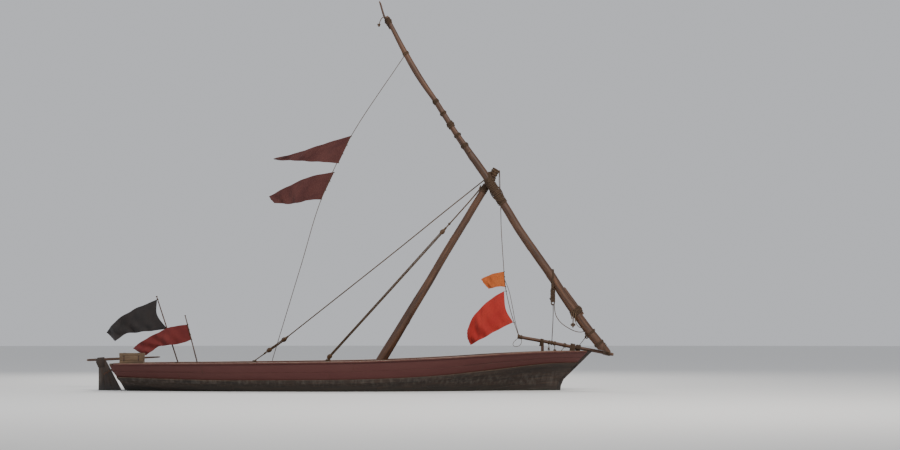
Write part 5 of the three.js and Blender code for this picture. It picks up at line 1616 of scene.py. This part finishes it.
# %% Lay the floorboards
BOARD_WIDE, BOARD_GAP, BOARD_THICK = 0.17, 0.009, 0.026
BOARD_ENDS = [(-2.08, -0.42, 1.82), (-2.08, 0.3, 1.82)]
for side, way in (("port", 1), ("starboard", -1)):
    floor = Pile()
    for i, ends in enumerate(BOARD_ENDS):
        y = way * (KEELSON["half"] + BOARD_GAP + BOARD_WIDE / 2 + i * (BOARD_WIDE + BOARD_GAP))
        z = FLOOR_TOP + BOARD_THICK / 2 + 0.0005
        for k, (aft, fore) in enumerate(zip(ends, ends[1:])):
            board(floor, (aft, y, z), (fore - 0.004, y, z), BOARD_WIDE, BOARD_THICK - 0.001,
                  seed=740 + 4 * i + 2 * k + (way > 0))
        for x in (-1.415, -0.283, 1.415):
            for offset in (-0.055, 0.055):
                stud(deck_nails, (x, y + offset, FLOOR_TOP + BOARD_THICK + 0.0005), UP, 0.006, 0.002)
    make(f"floorboards_{side}_laid", floor, finish_deck, replaces=[f"floorboards_{side}"])
make("deck_nails", deck_nails, finish_iron)

# Wedges round the mast, where it goes through its partner
WEDGES = 9
WEDGE_Z = 0.575
wedges = Pile()
lean = np.array([MAST_RAKE, 0.0, 1.0]) * 0.060
for k in range(WEDGES):
    angle = math.tau * (k + 0.5) / WEDGES
    out = np.array([math.cos(angle), math.sin(angle), 0.0])
    place = np.array([mast_x(WEDGE_Z), 0.0, WEDGE_Z]) + out * (0.1165 + 0.012)
    board(wedges, place - lean * 0.6, place + lean, 0.05, 0.018, out, arris=0.003, seed=760 + k,
          end_width=0.058)
make("mast_wedges", wedges, finish_spar)

# %% Hang the rudder
RUDDER_GAP = 0.060
RUDDER_HALF = 0.027
# The blade's after edge, from the head down: Z and X
RUDDER_TRAIL = np.array([(0.705, -5.582), (0.61, -5.582), (0.5, -5.522), (-0.36, -5.522), (-0.48, -5.44),
                         (-0.52, -5.33)])
RUDDER_HEIGHTS = np.array([0.705, 0.699, 0.64, 0.616, 0.56, 0.5, 0.3, 0.05, -0.2, -0.36, -0.42, -0.48,
                           -0.514, -0.52])
RUDDER_PLANKS = (0.0, 0.36, 0.69, 1.0)


def rudder_fore(z):
    return np.minimum(post_aft(z) - RUDDER_GAP, -5.350 - (z - 0.64) * 0.54)


blade = Pile()
fore = rudder_fore(RUDDER_HEIGHTS)
trail = np.interp(RUDDER_HEIGHTS, RUDDER_TRAIL[::-1, 0], RUDDER_TRAIL[::-1, 1])
for j, (share0, share1) in enumerate(zip(RUDDER_PLANKS, RUDDER_PLANKS[1:])):
    sides = []
    for way in (1, -1):
        grid = []
        for i, (z, x0, x1) in enumerate(zip(RUDDER_HEIGHTS, fore, trail)):
            ease = 0.005 / (x0 - x1)
            across = (share0 + 0.001, share0 + ease, (share0 + share1) / 2, share1 - ease, share1 - 0.001)
            for m, share in enumerate(across):
                edge = m in (0, 4) or i in (0, len(RUDDER_HEIGHTS) - 1)
                tail = 0.30 * max(share - 0.75, 0) / 0.25 if z < 0.5 else 0
                half = RUDDER_HALF * (1 - tail) - (0.004 if edge else 0) + wobble(780 + j, z, 0.0007, 0.8)
                grid.append((x0 + (x1 - x0) * share, way * half, z))
        sides.append(np.array(grid).reshape(len(RUDDER_HEIGHTS), 5, 3))
    slab(blade, sides, [2, 0, 1], (780 + j * 1.9, 0, 0), (0.9, 0.2, 0.2, 0.2, 0.9))
for way in (1, -1):
    cheek = way * 0.0335
    board(blade, (-5.478, cheek, 0.735), (-5.462, cheek, 0.52), 0.15, 0.015, face=(0, 1, 0), seed=790 + way)
make("rudder_planks", blade, finish_hull, body="rudder", replaces=["rudder"])
helm = Pile()
grown_bar(helm, [(-5.788, 0, 0.672), (-5.25, 0, 0.696), (-4.15, 0, 0.744)], [0.026, 0.03, 0.016], 16, 161,
          uneven=0.02, knots_each=0.8, soft_end=0.008)
make("tiller_bar", helm, finish_spar, body="rudder", replaces=["tiller"])
bolts = [(float(rudder_fore(z)) - back, z, RUDDER_HALF + 0.0085, 0.009)
         for z in (0.43, -0.36) for back in (0.075, 0.15, 0.215)]
bolts += [(x, z, 0.041, 0.008) for x, z in ((-5.44, 0.655), (-5.505, 0.655), (-5.44, 0.59), (-5.505, 0.59))]
rudder_bolts = Pile()
for x, z, off, radius in bolts:
    for way in (1, -1):
        stud(rudder_bolts, (x, way * off, z), (0, way, 0), radius, 0.004)
make("rudder_bolts", rudder_bolts, finish_iron, body="rudder")

# %% Build the locker and stand the flagpoles
CHEST_AFT, CHEST_FORE, CHEST_OUT, CHEST_IN = -4.933, -4.409, -0.75, -0.522
CHEST_LOW, CHEST_TOP, CHEST_WALL = 0.4505, 0.778, 0.022
LID_LOW, LID_TOP, LID_OVER, LID_BOARD = 0.7785, 0.838, 0.008, 0.020
BOARD_SHY = 0.0015  # boards are this much narrower than their share
OUTWARD, FORWARD = (0, 1, 0), (1, 0, 0)
middle_x, middle_y = (CHEST_AFT + CHEST_FORE) / 2, (CHEST_OUT + CHEST_IN) / 2
chest = Pile()
rows = np.linspace(CHEST_LOW, CHEST_TOP, 4)
for j, (low, high) in enumerate(zip(rows, rows[1:])):
    z, tall = (low + high) / 2, high - low - BOARD_SHY
    for k, y in enumerate((CHEST_OUT + CHEST_WALL / 2, CHEST_IN - CHEST_WALL / 2)):
        board(chest, (CHEST_AFT, y, z), (CHEST_FORE, y, z), tall, CHEST_WALL, OUTWARD, arris=0.003,
              seed=800 + 4 * j + k)
    for k, x in enumerate((CHEST_AFT + CHEST_WALL / 2, CHEST_FORE - CHEST_WALL / 2)):
        board(chest, (x, CHEST_OUT + CHEST_WALL, z), (x, CHEST_IN - CHEST_WALL, z), tall, CHEST_WALL, FORWARD,
              arris=0.003, seed=802 + 4 * j + k)
bottom = CHEST_LOW + 0.011
board(chest, (CHEST_AFT + CHEST_WALL, middle_y, bottom), (CHEST_FORE - CHEST_WALL, middle_y, bottom),
      CHEST_IN - CHEST_OUT - 2 * CHEST_WALL, 0.02, seed=815)
make("locker_boards", chest, finish_deck, replaces=["locker"])
lid = Pile()
edges = np.linspace(CHEST_OUT, CHEST_IN + LID_OVER, 4)
aft, fore = CHEST_AFT - LID_OVER, CHEST_FORE + LID_OVER
z = LID_TOP - LID_BOARD / 2
for j, (low, high) in enumerate(zip(edges, edges[1:])):
    y = (low + high) / 2
    board(lid, (aft, y, z), (fore, y, z), high - low - BOARD_SHY, LID_BOARD, seed=820 + j)
z, tall = (LID_LOW + LID_TOP - LID_BOARD) / 2, LID_TOP - LID_BOARD - LID_LOW - 0.001
for k, y in enumerate((edges[0] + 0.01, edges[-1] - 0.01)):
    board(lid, (aft + 0.002, y, z), (fore - 0.002, y, z), tall, 0.018, OUTWARD, seed=824 + k)
for k, x in enumerate((aft + 0.012, fore - 0.012)):
    board(lid, (x, edges[0] + 0.02, z), (x, edges[-1] - 0.02, z), tall, 0.018, FORWARD, seed=826 + k)
make("locker_lid_boards", lid, finish_deck, body="locker_lid", replaces=["locker_lid"])


def strap(pile, start, end, width, face, seed):
    board(pile, start, end, width, 0.003, face, arris=0.001, seed=seed)


# Hinge straps on the lid and the back, with their knuckles on the lid's hinge line, and a hasp in front
lid_irons, chest_irons = Pile(), Pile()
for x in (CHEST_AFT + 0.1, CHEST_FORE - 0.1):
    z = LID_TOP + 0.002
    strap(lid_irons, (x, CHEST_OUT - 0.002, z), (x, CHEST_OUT + 0.15, z), 0.026, UP, 830)
    for y in (CHEST_OUT + 0.03, CHEST_OUT + 0.08, CHEST_OUT + 0.13):
        stud(lid_irons, (x, y, LID_TOP + 0.0035), UP, 0.005, 0.002)
    tube(chest_irons, [(x - 0.022, CHEST_OUT, CHEST_TOP), (x + 0.022, CHEST_OUT, CHEST_TOP)], 0.0045, 10)
    strap(chest_irons, (x, CHEST_OUT - 0.002, CHEST_TOP - 0.004), (x, CHEST_OUT - 0.002, CHEST_TOP - 0.12),
          0.026,
          OUTWARD, 834)
hasp, staple = CHEST_IN + 0.0105, CHEST_IN + 0.002
strap(lid_irons, (middle_x, hasp, 0.832), (middle_x, hasp, 0.72), 0.03, OUTWARD, 832)
strap(chest_irons, (middle_x, staple, 0.765), (middle_x, staple, 0.69), 0.044, OUTWARD, 836)
make("locker_lid_irons", lid_irons, finish_iron, body="locker_lid")
make("locker_irons", chest_irons, finish_iron)

# Each: foot, head, radius
POLES = {"flagpole_aft": ((-3.823, 0.9, 0.45), (-4.372, 0.9, 2.11), 0.015),
         "flagpole_fore": ((-3.372, 0.76, 0.45), (-3.696, 0.76, 1.669), 0.014)}
steps_pile = Pile()
for k, (name, (foot, head, radius)) in enumerate(POLES.items()):
    pole = Pile()
    foot, head = np.array(foot) + (0, 0, 0.001), np.array(head)
    way = unit(head - foot)
    grown_bar(pole, [foot, (foot + head) / 2, head], [radius * 1.05, radius, radius * 0.82], 12, 171 + k,
              step=0.05,
              uneven=0.02, knots_each=0.3, soft_end=0.004)
    truck = [head + way * up for up in (-0.004, 0.004, 0.014, 0.02)]
    tube(pole, truck, radius * np.array([1.1, 1.5, 1.4, 0.6]), 12, seed=840 + k)
    make(name + "_stick", pole, finish_spar, replaces=[name])
    for shift in (-1, 1):
        y = shift * (radius + 0.02)
        board(steps_pile, foot + (-0.075, y, 0.02), foot + (0.075, y, 0.02), 0.036, 0.04, arris=0.006,
              seed=845 + 2 * k + shift)
    for end in (-0.062, 0.06):
        board(steps_pile, foot + (end, -radius - 0.002, 0.02), foot + (end, radius + 0.002, 0.02), 0.026,
              0.04,
              seed=850 + k)
make("flagpole_steps", steps_pile, finish_deck)

# %% [markdown]
# ## Flags
# Each flag is a single sheet of thin cotton that the wind holds out, so it hangs in shallow folds that grow
# towards the fly. Its outline is known, so its grid of points is laid out first and the folds are added
# across it. A simulation would give folds too, but it would move the outline. The hoist is seized to its
# pole or line with short turns of twine.

# %% Cloth finish
THREADS = 1400.0  # how fast the weave's threads follow each other


def weave_group():
    t = new_group("Woven cotton", Lay=None, Colour=(0.5, 0.0, 0.0), Faded=(0.6, 0.2, 0.1), Fading=0.5)
    parted = t.node("SeparateXYZ", {0: t["Lay"]})
    warp, weft = [t.maths("SINE", t.times(parted[axis], THREADS)) for axis in ("X", "Y")]
    weave = t.plus(t.times(t.times(warp, weft), 0.5), 0.5)
    slubs = t.noise(t["Lay"], (3.0, 90.0, 1.0), 1.0, 3.0, 0.6)
    faded = t.noise(t["Lay"], (1.6, 3.0, 1.0), 1.2, 5.0, 0.62)
    stained = t.noise(t["Lay"], (4.0, 5.0, 1.0), 1.0, 6.0, 0.7)
    colour = t.mix(t.times(t.steps(faded, 0.35, 0.75), t["Fading"]), t["Colour"], t["Faded"])
    colour = t.mix(t.times(t.steps(stained, 0.58, 0.72), 0.28), colour, (0.03, 0.02, 0.015))
    colour = t.mix(t.times(t.steps(slubs, 0.5, 0.7), 0.14), colour, t["Faded"])
    shade = t.mix(weave, (0.8, 0.8, 0.8), (1.0, 1.0, 1.0))
    return t.ends(Colour=t.mix(1.0, colour, shade, "MULTIPLY"), Height=t.plus(weave, t.times(slubs, 0.6)))


WEAVE = weave_group()


def cloth_finish(name, colour, faded, fading):
    material, t = new_finish(name)
    cloth = t.put(WEAVE, Lay=t.lay(), Colour=colour, Faded=faded, Fading=fading)
    t.surface(cloth["Colour"], 0.85, cloth["Height"], 0.25, 0.0008, {"Sheen Weight": 0.15})
    return material


finish_black_flag = cloth_finish("sun_bleached_black", (0.012, 0.01, 0.01),
                                 (0.045, 0.03, 0.026), 0.6)
finish_maroon_flag = cloth_finish("dull_maroon", (0.06, 0.011, 0.01), (0.13, 0.036, 0.026),
                                  0.6)
finish_stern_flag = cloth_finish("dark_red", (0.135, 0.01, 0.01), (0.25, 0.035, 0.025), 0.5)
finish_bow_flag = cloth_finish("bright_red", (0.36, 0.012, 0.008), (0.5, 0.045, 0.02), 0.45)
finish_orange_flag = cloth_finish("burnt_orange", (0.42, 0.085, 0.01), (0.56, 0.17, 0.035),
                                  0.5)
print("cloth finishes made")

# %% Fly the flags
AFT_POLE, FORE_POLE = [(head, foot) for foot, head, _ in POLES.values()]
CLOTH_THICK = 0.0016
HEM = 0.018
FLAG_GRID = (34, 76)
TIES_AT = (0.02, 0.34, 0.66, 0.98)
# Each flag: rows from the hoist to the fly, the top row first. A number alone is a height on the hoist's
# pole or line. Then the depth and count of its folds, its finish, the solid it hangs on, the radius its
# ties go round, and the cloth's flat size. loose_corners says that short ropes lead from the hoist's
# corners.
FLAGS = {
    "flag_stern_black": {
        "rows": [[(-4.366, 0.9, 2.05), (-4.68, 0.9, 1.915), (-4.941, 0.9, 1.802), (-5.292, 0.9, 1.562),
                  (-5.53, 0.9, 1.289)],
                 [(-4.361, 0.9, 1.7), (-4.61, 0.9, 1.625), (-4.86, 0.9, 1.56), (-5.18, 0.9, 1.4),
                  (-5.42, 0.9, 1.19)],
                 [1.378, (-4.38, 0.9, 1.34), (-4.76, 0.9, 1.3), (-5.09, 0.9, 1.252),
                  (-5.303, 0.9, 1.081)]],
        "hoist": AFT_POLE, "fold": 0.085, "waves": 1.7, "finish": finish_black_flag, "on": "flagpole_aft",
        "tie": 0.017, "seed": 401, "cut": (0.66, 1.45), "loose_corners": True,
    },
    "flag_stern_red": {
        "rows": [[1.475, (-3.9, 0.76, 1.44), (-4.118, 0.76, 1.385), (-4.592, 0.76, 1.143),
                  (-4.885, 0.76, 0.937)],
                 [1.3, (-3.8, 0.76, 1.27), (-4.06, 0.76, 1.215), (-4.47, 0.76, 1.05), (-4.75, 0.76, 0.85)],
                 [1.13, (-3.728, 0.76, 1.06), (-3.98, 0.76, 1.01), (-4.31, 0.76, 0.965),
                  (-4.575, 0.76, 0.764)]],
        "hoist": FORE_POLE, "fold": 0.075, "waves": 1.9, "finish": finish_stern_flag, "on": "flagpole_fore",
        "tie": 0.016, "seed": 411, "cut": (0.36, 1.5),
    },
    "flag_pennant": {
        "rows": [[5.75, (-0.42, 0.165, 5.59), (-1.0, 0.165, 5.395), (-1.631, 0.165, 5.222)],
                 [5.44, (-0.43, 0.185, 5.37), (-1.02, 0.17, 5.285), (-1.631, 0.165, 5.212)],
                 [5.13, (-0.5, 0.2, 5.15), (-1.04, 0.185, 5.175), (-1.631, 0.165, 5.202)]],
        "hoist": AFT_LINE, "fold": 0.06, "waves": 2.2, "finish": finish_maroon_flag, "on": "signal_line_aft",
        "tie": 0.01, "seed": 421, "cut": (0.66, 1.7),
    },
    "flag_long": {
        "rows": [[4.94, (-0.8, 0.33, 4.835), (-1.275, 0.33, 4.637), (-1.758, 0.33, 4.374)],
                 [4.63, (-0.84, 0.35, 4.56), (-1.27, 0.345, 4.43), (-1.7, 0.335, 4.3)],
                 [4.318, (-0.85, 0.385, 4.3), (-1.22, 0.38, 4.215), (-1.626, 0.34, 4.231)]],
        "hoist": AFT_LINE, "fold": 0.065, "waves": 2.0, "finish": finish_maroon_flag, "on": "signal_line_aft",
        "tie": 0.01, "seed": 431, "cut": (0.64, 1.35),
    },
    "flag_small": {
        "rows": [[2.662, (3.34, 0.0, 2.615), (3.2, 0.0, 2.56), (3.058, 0.0, 2.495)],
                 [2.49, (3.4, 0.0, 2.47), (3.26, 0.0, 2.425), (3.13, 0.0, 2.385)],
                 [2.312, (3.48, 0.0, 2.325), (3.35, 0.0, 2.3), (3.235, 0.0, 2.27)]],
        "hoist": FORE_LINE, "fold": 0.03, "waves": 1.4, "finish": finish_orange_flag,
                   "on": "signal_line_fore",
        "tie": 0.009, "seed": 441, "cut": (0.37, 0.52),
    },
    "flag_bow_red": {
        "rows": [[(3.575, 0.0, 2.221), (3.33, 0.0, 2.08), (3.064, 0.0, 1.856), (2.85, 0.0, 1.595),
                  (2.745, 0.0, 1.328)],
                 [(3.616, 0.0, 1.811), (3.41, 0.0, 1.7), (3.17, 0.0, 1.53), (2.92, 0.0, 1.345),
                  (2.752, 0.0, 1.17)],
                 [(3.78, 0.0, 1.519), (3.54, 0.0, 1.403), (3.3, 0.0, 1.275), (3.06, 0.0, 1.14),
                  (2.824, 0.0, 1.017)]],
        "hoist": FORE_LINE, "fold": 0.07, "waves": 1.6, "finish": finish_bow_flag, "on": "signal_line_fore",
        "tie": 0.009, "seed": 451, "cut": (0.76, 1.25), "loose_corners": True,
    },
}


def smooth_rows(rows, count):
    """Rows of points made finer along and across, by smooth lines through them."""
    def finer(points, n):
        line = through(points, 0.004)
        run = run_along(line)
        return np.stack([np.interp(np.linspace(0, run[-1], n), run, line[:, k]) for k in range(3)], -1)
    wide = np.stack([finer(row, count[1]) for row in rows])
    return np.stack([finer(wide[:, j], count[0]) for j in range(count[1])], 1)


def fold_cloth(grid, look, u, v):
    """Adds the folds, which grow towards the fly, and a fly edge that has begun to fray."""
    draw = random.Random(look["seed"])
    phase = [draw.uniform(0, math.tau) for _ in range(3)]
    waves = look["waves"] * u
    free = look["fold"] * u**0.75 * (1 - np.exp(-u * 9))
    fold = np.sin(math.tau * (waves - 0.32 * v) + phase[0])
    fold = fold + 0.38 * np.sin(math.tau * (2.3 * waves + 0.55 * v) + phase[1])
    fold = fold + 0.16 * np.sin(math.tau * (4.1 * waves - 0.9 * v) + phase[2])
    grid[..., 1] += free * fold * (0.75 + 0.35 * v)
    grid[..., 2] += 0.12 * free * np.cos(math.tau * (2 * waves - 0.3 * v) + phase[2])
    fray = wobble(look["seed"] + 3, v[:, 0], 0.006, 0.35)[:, None] * np.clip((u - 0.9) / 0.1, 0, 1)
    grid += unit(grid[:, -1] - grid[:, -2])[:, None] * fray[..., None]


def flag_ties(name, look, hoist):
    """Seizings round the pole or line, and at a loose corner the short rope that leads to it."""
    ties = Pile()
    top, foot = hoist[0], hoist[-1]
    places = [top + (foot - top) * share for share in TIES_AT]
    if "loose_corners" in look:
        places = [on_route(look["hoist"], corner[2]) for corner in (top, foot)]
        for corner, place in zip((top, foot), places):
            laid_rope(ties, [place, (place + corner) / 2 - (0, 0, 0.004), corner], 0.004, look["seed"] + 9)
    for k, place in enumerate(places):
        lash(ties, place, foot - top, look["tie"], 0.006, 3, look["seed"] + 10 + k, each_turn=14)
    return make(name + "_ties", ties, finish_line, body=None)


def flag(name, look):
    """One flag: a thin closed sheet with hems, folds and ties."""
    points = [[on_route(look["hoist"], p) if np.isscalar(p) else np.array(p) for p in row]
              for row in look["rows"]]
    grid = smooth_rows(points, FLAG_GRID)
    rows, columns = FLAG_GRID
    fold_cloth(grid, look, np.linspace(0, 1, columns)[None], np.linspace(0, 1, rows)[:, None])
    fly = np.array([run_along(row) for row in grid])
    drop = np.stack([run_along(grid[:, j]) for j in range(columns)], 1)
    normal = unit(np.cross(np.gradient(grid, axis=1), np.gradient(grid, axis=0)))
    edge = np.minimum(np.minimum(drop, drop[-1:] - drop), np.minimum(fly, fly[:, -1:] - fly))
    half = CLOTH_THICK / 2 * (1 + 1.1 * (edge < HEM))
    lay = np.stack([fly + look["seed"] * 0.1, drop, half], -1)
    off = normal * half[..., None]
    pile = Pile()
    pile.add([grid + off, grid - off], slab_faces(rows, columns), [lay, lay], 0.0)
    piece = make(name + "_cloth", pile, look["finish"], body=None, replaces=[name])
    tied = flag_ties(name, look, grid[:, 0])
    for each in (piece, tied):
        if look["on"] == "signal_line_aft":
            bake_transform(each)
        else:
            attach(each, "hull")


for name, look in FLAGS.items():
    flag(name, look)

# %% Dress the solids that keep their own shape
EASED_SOLIDS = {
    "keel": (finish_backbone, 0.01), "stem": (finish_backbone, 0.01), "sternpost": (finish_backbone, 0.008),
    "mast_partner": (finish_partner, 0.008), "mast_step": (finish_partner, 0.01),
    "bowsprit_post": (finish_post, 0.008), "bowsprit_chock": (finish_partner, 0.01),
    "gudgeon_upper": (finish_iron, 0.0015), "gudgeon_lower": (finish_iron, 0.0015),
    "pintle_upper": (finish_iron, 0.0012), "pintle_lower": (finish_iron, 0.0012),
}
for name, (finish, ease) in EASED_SOLIDS.items():
    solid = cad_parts[name]
    solid.data.materials.clear()
    solid.data.materials.append(finish)
    bevel = solid.modifiers.new("eased arrises", "BEVEL")
    bevel.width = ease
    bevel.segments = 2
    bevel.limit_method = "ANGLE"
    bevel.angle_limit = math.radians(35)
print("eased solids:", len(EASED_SOLIDS))
